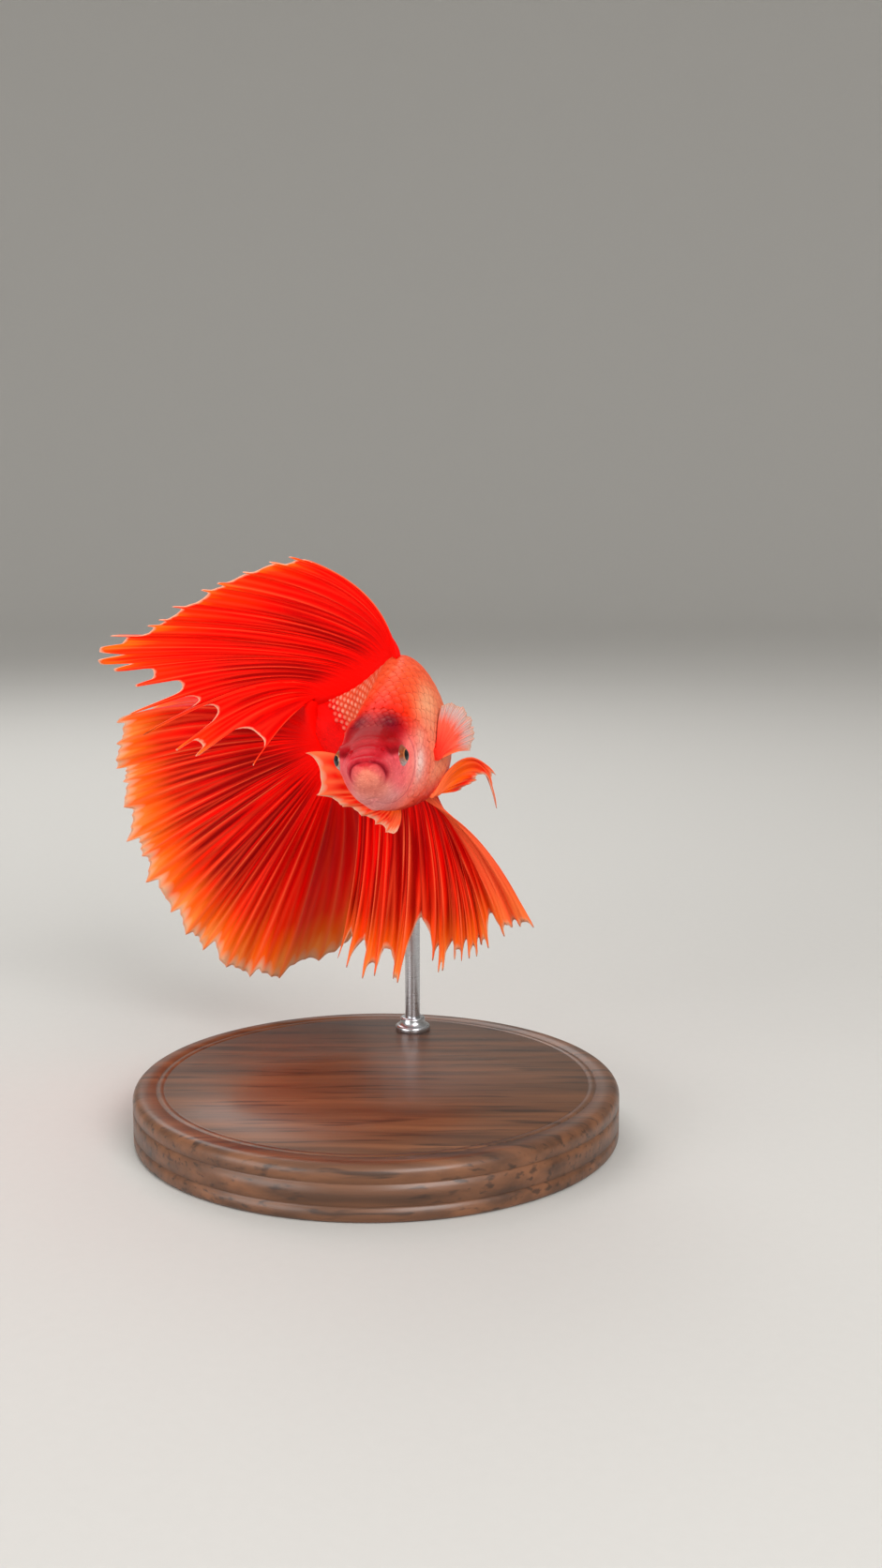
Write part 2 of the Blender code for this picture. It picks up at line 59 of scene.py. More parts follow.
# ---- body: the spine bends, dips and rolls as smooth steps between two places along it
LENGTH = 42.0
HEAD_YAW = 5.0
NECK_TURN = (2.0, 12.0, 11.0)  # from, to, degrees of yaw gained
TAIL_TURN = (15.0, 42.0, -74.0)
CHEST_RISE = (4.0, 14.0, 4.0)
TAIL_DIP = (18.0, 36.0, -17.0)
HEAD_ROLL = 5.5
TAIL_ROLL = (8.0, 42.0, 18.5)
# place along the spine, height above it, depth below it, half width
SECTIONS = (
    (0.0, 0.25, 0.35, 0.5),
    (0.3, 0.55, 0.85, 1.0),
    (1.0, 1.0, 1.7, 1.65),
    (2.0, 1.5, 2.5, 2.2),
    (4.5, 2.6, 4.2, 3.1),
    (8.0, 3.9, 5.5, 3.85),
    (12.0, 5.4, 6.4, 4.15),
    (17.0, 7.2, 6.9, 4.2),
    (22.0, 8.1, 7.0, 3.9),
    (28.0, 7.2, 6.4, 3.1),
    (34.0, 5.7, 5.5, 2.1),
    (42.0, 4.7, 4.8, 1.1),
)
TAIL_BOW = 1.2
TAIL_SLANT = 0.023             # how much further forward the tail root's edge lies, a degree
TAIL_RED, LAST_SCALE = (38.2, 39.0), 39.6
TAIL_SLIM = 0.55               # share of its width that the tail root loses into the fin

# ---- head
EYE_RADIUS = 1.32
EYE_PLACE, EYE_HEIGHT, EYE_OUT = 4.6, 0.3, 2.33
EYE_RINGS, EYE_AROUND = 56, 64
LID_RADIUS, LID_TURN = 1.08, 12.0  # of the opening round the eyeball, and degrees it looks forward
LID_RISE, ORBIT_GAP = 0.07, 0.3  # of the lid over the eyeball's edge, of the skin under the ball
EYE_TURNS = {1: 15.0, -1: 37.0}  # degrees that the left and the right eye look forward
GAPE_START, GAPE_SLOPE = (0.3, 0.7), 52.0
GAPE_CORNER = (1.55, 2.2)      # places between which the mouth's corner closes
FOREHEAD_FOLDS = ((2.25, 0.03), (3.9, 0.02))
NOSTRILS = ((2.35, 40.0, 0.15, 0.22), (3.15, 47.0, 0.12, 0.16))
HOLLOW = (3.2, 60.0, 0.55, 0.22)
CHIN_NOTCH = (3.5, 178.0, 0.28, 0.16)
# degrees round from the crown, place of the rear edge of the gill cover and its throat membrane
COVER_EDGE = ((30, 9.4), (52, 10.5), (75, 11.7), (99, 12.1), (123, 11.7), (146, 10.5), (160, 8.7),
              (172, 6.9), (180, 6.2))
# the same for the groove that parts the cheek and jaw from the gill cover
CHEEK_GROOVE = ((0, 4.6), (16, 5.0), (34, 7.2), (60, 7.7), (100, 7.9), (133, 7.2), (152, 6.3),
                (168, 4.7), (180, 3.7))

# ---- fins: a fan of bowed rays. A station is its place along the fin's root, then the bow point
# and the tip of the ray there, each as (length, rise, lean).
# They are turned from the spine's own directions at the place called the fin's _FRAME.
DORSAL_ROOT, DORSAL_FRAME = (20.5, 36.5), 27.0
DORSAL_HEEL = 5.5              # how much further back the last rays are rooted
DORSAL_RAYS = (
    (0.0, (8.5, 63, 13), (16.5, 51, -17)),
    (0.2, (8.5, 55, -4), (20.5, 46, -31)),
    (0.4, (8.5, 45, -18), (25.5, 40, -41)),
    (0.6, (9.5, 42, -25), (30.0, 35, -48)),
    (0.75, (9.0, 38, -26), (33.0, 30, -51)),
    (0.88, (9.7, 44, -36), (26.4, 15, -56)),
    (0.95, (6.0, 53, -46), (18.3, -9, -58)),
    (1.0, (4.8, -60, -68), (10.2, -66, -54)),
)
# place along the root, reach of the ray tip there, reach of the web between it and the next tip
DORSAL_TIPS = (
    (0.0, 0.93, 0.95), (0.035, 1.015, 0.955), (0.09, 1.025, 0.97), (0.21, 1.0, 0.965),
    (0.3, 0.995, 0.96), (0.37, 0.99, 0.945), (0.48, 0.985, 0.94), (0.56, 0.96, 0.935),
    (0.6, 0.965, 0.935), (0.68, 1.0, 0.95), (0.735, 1.0, 0.94), (0.775, 1.01, 0.93),
    (0.803, 0.985, 0.88), (0.845, 0.945, 0.8), (0.882, 1.02, 0.78), (0.918, 1.05, 0.75),
    (0.948, 1.03, 0.93), (0.96, 1.0, 0.64), (1.0, 0.985, 0.985),
)
CAUDAL_HALF_ROOT = 5.2
CAUDAL_RAYS = (
    (0.0, (15.0, 16, 56), (30.0, 12, 59)),
    (0.12, (16.0, 10, 43), (30.5, 4, 45)),
    (0.24, (18.5, 17, 29), (31.5, 0, 27)),
    (0.36, (16.5, 23, 15), (31.0, 8, 8)),
    (0.5, (15.0, 2, 5), (32.0, -2, 1)),
    (0.64, (15.0, -15, -1), (33.5, -17, -5)),
    (0.78, (16.0, -34, -6), (34.5, -35, -8)),
    (0.9, (16.0, -48, -1), (34.5, -48, -4)),
    (1.0, (14.8, -70, 31), (29.2, -60, 14)),
)
CAUDAL_TEETH = 24
ANAL_ROOT, ANAL_FRAME = (20.5, 40.5), 29.0
ANAL_RAYS = (
    (0.0, (9.5, -57, 45), (24.5, -65, 26)),
    (0.15, (10.5, -66, 25), (23.5, -65, 14)),
    (0.33, (12.5, -73, 11), (24.0, -68, 1)),
    (0.5, (12.5, -74, 3), (25.0, -69, -6)),
    (0.65, (12.5, -73, -6), (26.0, -70, -14)),
    (0.82, (12.5, -72, -12), (25.5, -70, -17)),
    (1.0, (12.5, -73, -12), (23.5, -68, -19)),
)
ANAL_TIPS = (
    (0.0, 1.0, 0.95), (0.05, 0.97, 0.94), (0.085, 0.965, 0.92), (0.125, 0.98, 0.84),
    (0.21, 0.99, 0.93), (0.24, 0.97, 0.92), (0.27, 1.0, 0.92), (0.31, 0.98, 0.88),
    (0.36, 0.99, 0.9), (0.4, 0.96, 0.86), (0.47, 1.0, 0.95), (0.49, 1.0, 0.87),
    (0.53, 0.94, 0.7), (0.655, 1.0, 0.97), (0.69, 0.99, 0.84), (0.8, 0.995, 0.93),
    (0.84, 1.01, 0.84), (0.93, 1.0, 0.82), (1.0, 1.0, 0.98),
)
PECTORAL_PLACE, PECTORAL_SPAN, PECTORAL_FRAME = 13.6, (95.0, 107.0), 13.0
# the paired fins have a table for each side: 1 is the left, -1 the right
PECTORAL_RAYS = {
    1: ((0.0, (3.3, 55, -2), (5.7, 38, -3)), (0.25, (4.0, 37, 7), (7.5, 29, 6)),
        (0.5, (3.8, 27, 16), (7.3, 20, 16)), (0.75, (3.1, 24, 24), (6.7, 11, 20)),
        (1.0, (2.4, 20, 33), (5.3, -1, 25))),
    -1: ((0.0, (4.3, 33, -14), (7.7, 24, -9)), (0.5, (4.0, 14, -16), (7.5, 11, -10)),
         (1.0, (3.0, -10, -12), (6.0, -2, -8))),
}
PELVIC_PLACE, PELVIC_ANGLE, PELVIC_FRAME = (16.4, 17.8), 152.0, 18.0
PELVIC_RAYS = {
    1: ((0.0, (8.0, 50, 25), (12.3, -4, 20)), (0.3, (10.5, 36, 25), (12.9, -20, 16)),
        (0.65, (4.6, 14, 32), (7.9, -4, 21)), (1.0, (2.0, -4, 33), (4.9, -12, 16))),
    -1: ((0.0, (7.5, 64, -31), (11.5, 59, -55)), (0.3, (4.0, 54, -60), (9.5, 20, -71)),
         (0.55, (2.5, -9, -64), (6.5, -20, -68)), (0.78, (2.0, -60, -34), (4.5, -59, -49)),
         (1.0, (2.0, -74, 8), (4.0, -79, -14))),
}
PELVIC_TIPS = {
    1: ((0.0, 1.0, 0.88), (0.3, 1.02, 0.7), (0.65, 1.0, 0.9), (1.0, 1.0, 1.0)),
    -1: ((0.0, 1.02, 0.9), (0.3, 1.03, 0.93), (0.5, 1.0, 0.94), (0.66, 0.99, 0.93),
         (0.8, 1.03, 0.93), (0.91, 1.06, 1.03), (1.0, 0.93, 0.93)),
}

# ---- display stand
BASE_RADIUS, BASE_THICK = 27.0, 6.0
ROD_RADIUS, ROD_FOOT = 0.9, (3.7, 19.0)
ROD_PLACE, ROD_ANGLE, ROD_BEND, ROD_SINK, ROD_HOLE = 33.0, 97.0, 12.0, 1.4, 3.7

# ---- camera: its lens, its tilt and the slopes of the sight line to the head off the lens axis
LENS, SENSOR = 41.98565, 36.0
CAMERA_DROP = 9.0
SIGHT_ASIDE, SIGHT_HIGH = -0.03846, 0.01385
HEAD_DISTANCE = 175.0
SIDES = {1: "left", -1: "right"}


# ---- curves
def ease(low, high, x):
    """0 below low, 1 above high and 3t^2 - 2t^3 between them."""
    t = np.clip((np.asarray(x, float) - low) / (high - low), 0.0, 1.0)
    return t * t * (3.0 - 2.0 * t)


def bell(x, width):
    """Gaussian hump of height 1: e to the power of -(x / width)^2."""
    return np.exp(-((np.asarray(x, float) / width) ** 2))


def through(stations, x):
    """Cubic Hermite curve through rows of (x, values...), with finite difference tangents."""
    rows = np.array(stations, float)
    places, values = rows[:, 0], rows[:, 1:]
    slopes = np.gradient(values, places, axis=0)
    x = np.asarray(x, float)
    i = np.clip(np.searchsorted(places, x, side="right") - 1, 0, len(places) - 2)
    step = (places[i + 1] - places[i])[..., None]
    t = np.clip((x - places[i])[..., None] / step, 0.0, 1.0)
    start = (2 * t**3 - 3 * t**2 + 1) * values[i] + (t**3 - 2 * t**2 + t) * step * slopes[i]
    end = (3 * t**2 - 2 * t**3) * values[i + 1] + (t**3 - t**2) * step * slopes[i + 1]
    return start + end


def unit(vectors):
    """Vectors divided by their own lengths."""
    return vectors / np.linalg.norm(vectors, axis=-1, keepdims=True)


def gained(s, *bends):
    """Degrees gained at places along the spine by smooth bends of (from, to, degrees)."""
    return sum(amount * ease(start, end, s) for start, end, amount in bends)


def spine_table(count=421):
    """Places along the spine with their point and their back, left and up directions."""
    s = np.linspace(0.0, LENGTH, count)
    yaw = np.radians(HEAD_YAW + gained(s, NECK_TURN, TAIL_TURN))
    pitch = np.radians(gained(s, CHEST_RISE, TAIL_DIP))
    roll = np.radians(HEAD_ROLL + gained(s, TAIL_ROLL))[:, None]
    flat = np.cos(pitch)
    back = np.stack([np.sin(yaw) * flat, np.cos(yaw) * flat, np.sin(pitch)], axis=1)
    steps = (back[1:] + back[:-1]) / 2.0 * (s[1] - s[0])
    points = np.concatenate([np.zeros((1, 3)), np.cumsum(steps, axis=0)])
    level = unit(np.cross(back, (0.0, 0.0, 1.0)))
    upright = np.cross(level, back)
    left = level * np.cos(roll) + upright * np.sin(roll)
    up = upright * np.cos(roll) - level * np.sin(roll)
    return s, (points, back, left, up)


SPINE = spine_table()


def spine(s):
    """Point, back, left and up at places along the spine."""
    places, columns = SPINE
    point, *directions = [
        np.stack([np.interp(s, places, column[:, k]) for k in range(3)], axis=-1)
        for column in columns
    ]
    return point, *map(unit, directions)


def section(s, angle, out=0.0):
    """Offsets to the left and up of the spine: a flattened ellipse, slimmer at the tail root."""
    height, depth, width = np.moveaxis(through(SECTIONS, s), -1, 0)
    width = width * (1.0 - TAIL_SLIM * ease(38.5, LENGTH, s))
    across, upward = np.sin(np.radians(angle)), np.cos(np.radians(angle))
    x = (width + out) * np.sign(across) * np.abs(across) ** 0.95
    return x, np.where(upward > 0.0, height + out, depth + out) * upward


def body(s, angle, out=0.0):
    """Skin at a place along the spine and an angle from the crown, towards the left side."""
    s, angle = np.broadcast_arrays(np.asarray(s, float), np.asarray(angle, float))
    x, z = section(s, angle, out)
    point, back, left, up = spine(s)
    bow = TAIL_BOW * np.sin(np.radians(angle)) ** 2 * ease(36.0, LENGTH, s)
    return point + left * x[..., None] + up * z[..., None] + back * bow[..., None]


def frame_at(s):
    """Back, left and up directions at one place along the spine."""
    return spine(float(s))[1:]


def aim(polar, directions):
    """Vectors of given (length, rise, lean) in a frame of back, left and up directions."""
    back, left, up = directions
    length = polar[..., 0]
    rise, lean = np.radians(polar[..., 1]), np.radians(polar[..., 2])
    along = length * np.cos(lean) * np.cos(rise)
    high = length * np.cos(lean) * np.sin(rise)
    aside = length * np.sin(lean)
    return along[..., None] * back + high[..., None] * up + aside[..., None] * left


def linear(colour):
    """Linear light of a colour given as red, green and blue out of 255."""
    shares = np.asarray(colour, float) / 255.0
    return np.where(shares <= 0.04045, shares / 12.92, ((shares + 0.055) / 1.055) ** 2.4)


# ---- settings
def colour_setting(name, description, shade):
    """Colour in linear light, its default given out of 255."""
    return FloatVectorProperty(
        name=name, description=description, default=tuple(linear(shade)), size=3,
        min=0.0, max=1.0, subtype="COLOR",
    )


def length_setting(name, description, metres):
    """Length in metres."""
    return FloatProperty(
        name=name, description=description, default=metres, min=0.0, subtype="DISTANCE",
        unit="LENGTH", precision=5,
    )


class BettaSkinSettings(PropertyGroup):
    """Sizes and colours of the body."""
    scale_lift: length_setting("Scale lift", "Height of a scale's free edge", 0.00009)
    skin_depth: length_setting("Skin depth", "How far the skin lies under the coat", 0.00012)
    gape_depth: length_setting("Gape depth", "Depth of the closed mouth's cleft", 0.00026)
    pupil: FloatProperty(
        name="Pupil", description="Half angle of the pupil seen from the eye's centre",
        default=math.radians(23.5), min=0.0, max=1.0, subtype="ANGLE",
    )
    iris_upper: colour_setting("Upper iris", "Iris above the pupil", (158, 72, 34))
    iris_lower: colour_setting("Lower iris", "Iris under the pupil", (178, 158, 154))


class BettaFinSettings(PropertyGroup):
    """Sizes and colours of the fins."""
    web: length_setting("Web", "Thickness of the web between two rays", 0.00012)
    ray: length_setting("Ray", "Height of a ray over the web, on each side", 0.00009)
    red: colour_setting("Red", "Main colour of the fins", (254, 4, 0))
    deep: colour_setting("Deep red", "Shaded pleats", (132, 0, 2))
    orange: colour_setting("Orange", "Outer third of the fins", (255, 96, 12))
    salmon: colour_setting("Salmon", "Ray tips and leading edges", (255, 112, 66))
    rim: colour_setting("Rim", "Clear rim of the webs", (222, 172, 140))


class BettaStageSettings(PropertyGroup):
    """Stand and studio."""
    walnut: colour_setting("Walnut", "Light grain of the base", (124, 78, 48))
    floor: colour_setting("Floor", "Colour of the studio floor", (206, 204, 200))
    key_power: FloatProperty(
        name="Key light", description="Power of the main soft light", default=4.0,
        min=0.0, unit="POWER",
    )


# ---- meshes
def tube_faces(columns, rows):
    """Quads of a grid whose points run round a closed row inside each column."""
    corner = np.arange(columns * rows).reshape(columns, rows)
    corner = np.concatenate([corner, corner[:, :1]], axis=1)
    quads = [corner[:-1, :-1], corner[1:, :-1], corner[1:, 1:], corner[:-1, 1:]]
    return np.stack(quads, axis=-1).reshape(-1, 4)


def fan(ring, hub):
    """Triangles from a closed ring of point numbers to a hub."""
    ring = np.asarray(ring)
    return np.stack([ring, np.roll(ring, -1), np.full(len(ring), hub)], axis=-1)


def circle(count):
    """Cosines and sines of evenly spaced angles."""
    turn = np.arange(count) * 2.0 * np.pi / count
    return np.cos(turn), np.sin(turn)


def capped(rings, ends, way=1):
    """Points and faces of rings that a fan closes at each end; way -1 turns the faces round."""
    count, around = rings.shape[:2]
    every = np.concatenate([rings.reshape(-1, 3), ends])
    ring = np.arange(around)
    faces = [tube_faces(count, around), fan(ring, len(every) - 2),
             fan((count - 1) * around + ring, len(every) - 1)[:, ::-1]]
    return every, [block[:, ::way] for block in faces]


def new_piece(name, points, faces, finish, values=None, maps=None):
    """Object of points in the fish's frame, with point attributes and UV maps given per point."""
    mesh = bpy.data.meshes.new(name)
    places = (np.asarray(points, float).reshape(-1, 3) + SNOUT) * MM
    rows = [row for block in faces for row in np.asarray(block).tolist()]
    mesh.from_pydata(places.tolist(), [], rows)
    mesh.polygons.foreach_set("use_smooth", np.ones(len(mesh.polygons), bool))
    for key, value in (values or {}).items():
        value, kind, field = np.asarray(value, float), "FLOAT", "value"
        if value.ndim == 2:
            value, kind, field = np.insert(value, 3, 1.0, axis=1), "FLOAT_COLOR", "color"
        mesh.attributes.new(key, kind, "POINT").data.foreach_set(field, value.ravel())
    corner = np.empty(len(mesh.loops), np.int32)
    mesh.loops.foreach_get("vertex_index", corner)
    for key, value in (maps or {}).items():
        mesh.uv_layers.new(name=key).data.foreach_set("uv", np.asarray(value)[corner].ravel())
    mesh.update()
    mesh.materials.append(finish)
    piece = bpy.data.objects.new(name, mesh)
    bpy.context.scene.collection.objects.link(piece)
    return piece


def hand_over(piece, slot, *nodes):
    """The piece rides on the one body and replaces the named solids."""
    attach(piece, "root")
    if nodes:
        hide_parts(*nodes)


# ---- materials
class Finish:
    """One material's node tree, with short names for the nodes used in this file."""

    def __init__(self, name, **constants):
        self.material = bpy.data.materials.new(name)
        self.material.use_nodes = True
        self.tree = self.material.node_tree
        self.done(**constants)

    def feed(self, socket, value):
        """Link a node's output to a socket, or set its value; a colour gains an alpha of 1."""
        if isinstance(value, bpy.types.NodeSocket):
            self.tree.links.new(value, socket)
        elif value is not None:
            socket.default_value = (*value, 1.0) if socket.type == "RGBA" else value

    def add(self, kind, inputs=None, **settings):
        """Shader node of a kind, with its settings made and its inputs fed."""
        node = self.tree.nodes.new("ShaderNode" + kind)
        for key, value in settings.items():
            setattr(node, key, value)
        for key, value in (inputs or {}).items():
            self.feed(node.inputs[key], value)
        return node

    def attribute(self, name, output="Fac"):
        return self.add("Attribute", attribute_name=name).outputs[output]

    def math(self, operation, first, second=None, third=None):
        node = self.add("Math", {0: first}, operation=operation)
        self.feed(node.inputs[1], second)
        self.feed(node.inputs[2], third)
        return node.outputs[0]

    def mix(self, share, first, second, blend="MIX"):
        """First colour carried to the second by a share, or blended with it in another way."""
        node = self.add("Mix", data_type="RGBA", blend_type=blend)
        for index, value in ((0, share), (6, first), (7, second)):
            self.feed(node.inputs[index], value)
        return node.outputs[2]

    def ramp(self, share, *stops):
        """Colour ramp; a stop is its position and a grey level or a colour."""
        node = self.add("ValToRGB", {"Fac": share})
        band = node.color_ramp
        while len(band.elements) < len(stops):
            band.elements.new(1.0)
        for element, (position, shade) in zip(band.elements, stops):
            element.position = position
            tone = (shade,) * 3 if np.isscalar(shade) else tuple(shade)
            element.color = (*tone, 1.0)
        return node.outputs["Color"]

    def noise(self, vector, size, detail=3.0, stretch=(1.0, 1.0, 1.0)):
        """Noise between about 0.2 and 0.8 with features of the given size."""
        scale = tuple(share / size for share in stretch)
        place = self.add("Mapping", {"Vector": vector, "Scale": scale}).outputs[0]
        texture = self.add("TexNoise", {"Vector": place, "Scale": 1.0, "Detail": detail})
        return texture.outputs["Fac"]

    def place(self):
        return self.add("TexCoord").outputs["Object"]

    def spread(self, share, low, high):
        """A share between 0 and 1 carried to between low and high."""
        return self.add("MapRange", {"Value": share, "To Min": low, "To Max": high}).outputs[0]

    def bump(self, height, distance, strength=1.0, under=None):
        inputs = {"Height": height, "Distance": distance, "Strength": strength, "Normal": under}
        return self.add("Bump", inputs).outputs["Normal"]

    def done(self, colour=None, roughness=None, normal=None, **others):
        """Feed the shader's sockets, _ for each space in a name, and give the material."""
        inputs = {"Base Color": colour, "Roughness": roughness, "Normal": normal, **others}
        for key, value in inputs.items():
            self.feed(self.tree.nodes["Principled BSDF"].inputs[key.replace("_", " ")], value)
        return self.material


def skin_finish(name, is_scale):
    """Moist skin: the painted tint, mottled, with fine grain and a thin slime gloss."""
    skin = Finish(
        name, Coat_Weight=0.08, Coat_Roughness=0.14, IOR=1.38,
        Subsurface_Weight=0.12, Subsurface_Scale=0.0008, Subsurface_Radius=(1.0, 0.32, 0.22),
        Specular_IOR_Level=0.06, Specular_Tint=(1.0, 0.4, 0.34),
    )
    place = skin.place()
    tint = skin.attribute("tint", "Color")
    blotch = skin.ramp(skin.noise(place, 0.0021, 4.0), (0.34, 0.0), (0.66, 1.0))
    deep = skin.mix(1.0, tint, (0.78, 0.5, 0.52), "MULTIPLY")
    colour = skin.mix(0.38 if is_scale else 0.55, tint, skin.mix(blotch, deep, tint))
    grain = skin.noise(place, 0.00026, 4.0)
    pores = skin.noise(place, 0.0006, 3.0)
    speck = skin.ramp(grain, (0.5, 0.0), (0.74, 0.8))
    colour = skin.mix(speck, colour, skin.mix(1.0, colour, (1.25, 1.5, 1.5), "MULTIPLY"))
    freckle = skin.ramp(pores, (0.3, 0.45), (0.44, 0.0))
    colour = skin.mix(freckle, colour, skin.mix(1.0, colour, (0.7, 0.42, 0.45), "MULTIPLY"))
    # pale dots on the scales: partly iridophores, partly painted highlight
    if is_scale:
        colour = skin.mix(skin.attribute("iridophore_and_highlight"), colour, linear((255, 186, 158)))
    normal = skin.bump(grain, 0.00004, 0.5, skin.bump(pores, 0.00008, 0.4))
    return skin.done(colour, skin.spread(blotch, 0.58, 0.42), normal)


def eye_finish(settings):
    """Glossy eyeball: black pupil, thin gilt ring, streaked iris paler beneath, dark rim."""
    eye = Finish("wet_eye", Roughness=0.12, Coat_Weight=0.5, Coat_Roughness=0.02, IOR=1.33)
    ring, upper = eye.attribute("ring"), eye.attribute("upper")
    edge = settings.pupil / math.pi
    above = eye.ramp(upper, (0.3, 0.0), (0.62, 1.0))
    iris = eye.mix(above, settings.iris_lower, settings.iris_upper)
    streak = eye.noise(eye.place(), 0.00022, 4.0)
    iris = eye.mix(eye.ramp(streak, (0.35, 0.0), (0.7, 0.6)), iris, (0.05, 0.015, 0.01))
    gilt = eye.ramp(ring, (edge, 0.0), (edge + 0.012, 1.0), (edge + 0.03, 0.0))
    iris = eye.mix(gilt, iris, linear((196, 122, 66)))
    rim = eye.ramp(ring, (0.29, 0.0), (0.37, 0.9))
    iris = eye.mix(rim, iris, (0.02, 0.006, 0.006))
    pupil = eye.ramp(ring, (edge - 0.006, 1.0), (edge + 0.002, 0.0))
    return eye.done(eye.mix(pupil, iris, (0.003, 0.003, 0.004)))


def fin_finish(name, fins, bands, ray_share, pleat_shade_share, rim_width=1.0, crest=0.0, clear=0.0):
    """Fin web: colours banded from root to margin, streaked along the rays, painted shade in the
    pleats, pale at the rim.
    """
    web = Finish(name, Specular_IOR_Level=0.12, Specular_Tint=(1.0, 0.3, 0.24), IOR=1.37)
    lines = web.add("UVMap", uv_map="Rays").outputs[0]
    along, ridge, edge = web.attribute("along"), web.attribute("ridge"), web.attribute("edge")
    shade, pale = web.attribute("shade"), web.attribute("pale")
    coarse = web.noise(lines, 1.0, 2.0, (1.3, 1.1, 1.0))
    fine = web.noise(lines, 1.0, 3.0, (5.5, 1.6, 1.0))

    def times(first, second):
        return web.math("MULTIPLY", first, second)

    def times_plus(first, second, more):
        return web.math("MULTIPLY_ADD", first, second, more)

    shift = times_plus(web.math("SUBTRACT", coarse, 0.5), 0.4, along)
    shift = times_plus(web.math("SUBTRACT", fine, 0.5), 0.25, shift)
    colour = web.ramp(shift, *bands)
    # painted shade: dark streaks in the pleats' valleys between rays, strongest where the shade
    # attribute is high
    deep = times(web.ramp(times_plus(fine, 0.9, coarse), (0.78, 0.0), (1.12, 1.0)), shade)
    deep = times(times(deep, times_plus(ridge, -0.55, 1.0)), pleat_shade_share)
    colour = web.mix(web.math("MINIMUM", deep, 0.95), colour, fins.deep)
    lit = times(ridge, web.ramp(along, (0.15, 0.03), (0.9, ray_share)))
    lit = web.math("MAXIMUM", lit, times(pale, web.ramp(fine, (0.3, 0.6), (0.6, 1.0))))
    colour = web.mix(lit, colour, fins.salmon)
    thread = times(web.ramp(ridge, (0.72, 0.0), (0.97, crest)),
                   web.ramp(fine, (0.3, 0.15), (0.6, 1.0)))
    colour = web.mix(thread, colour, linear((255, 104, 62)))
    rim = times_plus(coarse, 0.75, web.math("DIVIDE", edge, rim_width))
    rim = web.ramp(times_plus(ridge, 0.3, rim), (0.45, 0.9), (1.0, 0.0))
    colour = web.mix(rim, colour, fins.rim)
    hem = web.ramp(edge, (0.03, 0.85), (0.12, 0.0))
    colour = web.mix(hem, colour, linear((255, 176, 146)))
    opaque = None
    if clear:
        sheer = times(times(web.math("SUBTRACT", 1.0, ridge), clear),
                      web.ramp(along, (0.45, 0.0), (0.8, 1.0)))
        opaque = web.math("SUBTRACT", 1.0, sheer)
    normal = web.bump(fine, 0.00006, 0.5)
    return web.done(colour, web.spread(fine, 0.46, 0.62), normal, Alpha=opaque)


def wood_finish(settings):
    """Oiled walnut: dark growth lines bent along the board, and pores."""
    wood = Finish("walnut", Coat_Weight=0.3, Coat_Roughness=0.25)
    place = wood.place()
    sway = wood.noise(place, 0.02, 2.0, (0.35, 1.0, 1.0))
    bent = wood.add("VectorMath", {0: wood.mix(sway, (0.0, 0.0, 0.0), (0.0, 0.006, 0.004)),
                                   1: place}, operation="ADD").outputs[0]
    grain = wood.noise(bent, 0.0019, 5.0, (0.05, 1.0, 1.0))
    pores = wood.noise(place, 0.0007, 2.0, (0.07, 1.0, 1.0))
    light = np.array(settings.walnut)
    dark = 0.36 * light
    colour = wood.mix(wood.ramp(grain, (0.3, 0.0), (0.68, 1.0)), dark, light)
    colour = wood.mix(wood.ramp(pores, (0.56, 0.0), (0.68, 0.75)), colour, 0.35 * dark)
    return wood.done(colour, wood.spread(grain, 0.42, 0.56), wood.bump(pores, 0.00012, 0.35))


def steel_finish():
    """Brushed stainless steel, its fine lines running round the rod."""
    steel = Finish("brushed_steel", Metallic=1.0)
    line = steel.noise(steel.place(), 0.0012, 3.0, (1.0, 1.0, 9.0))
    colour = steel.mix(line, (0.42, 0.42, 0.44), (0.66, 0.66, 0.68))
    return steel.done(colour, steel.spread(line, 0.2, 0.4), steel.bump(line, 0.00002, 0.4))


# ---- body
# (from, to, step) of the skin's rings along the spine
SKIN_RINGS = ((0.0, 2.0, 0.06), (2.0, 8.0, 0.085), (8.0, 14.0, 0.15), (14.0, LENGTH, 0.32))
SKIN_AROUND = 300
# place along the spine, then red, green and blue of the crown, the flank and the belly
COAT = (
    (0.0, 196, 48, 54, 222, 90, 86, 240, 132, 106),
    (2.0, 178, 14, 28, 224, 84, 92, 240, 142, 128),
    (4.5, 164, 0, 8, 246, 108, 110, 232, 150, 146),
    (7.0, 178, 2, 14, 255, 124, 114, 246, 128, 116),
    (10.0, 240, 34, 10, 255, 108, 88, 248, 84, 58),
    (14.0, 255, 68, 30, 255, 130, 96, 246, 52, 28),
    (20.0, 255, 88, 48, 255, 118, 76, 246, 44, 24),
    (30.0, 247, 90, 50, 248, 100, 60, 240, 46, 24),
    (42.0, 240, 44, 20, 244, 60, 30, 238, 26, 10),
)
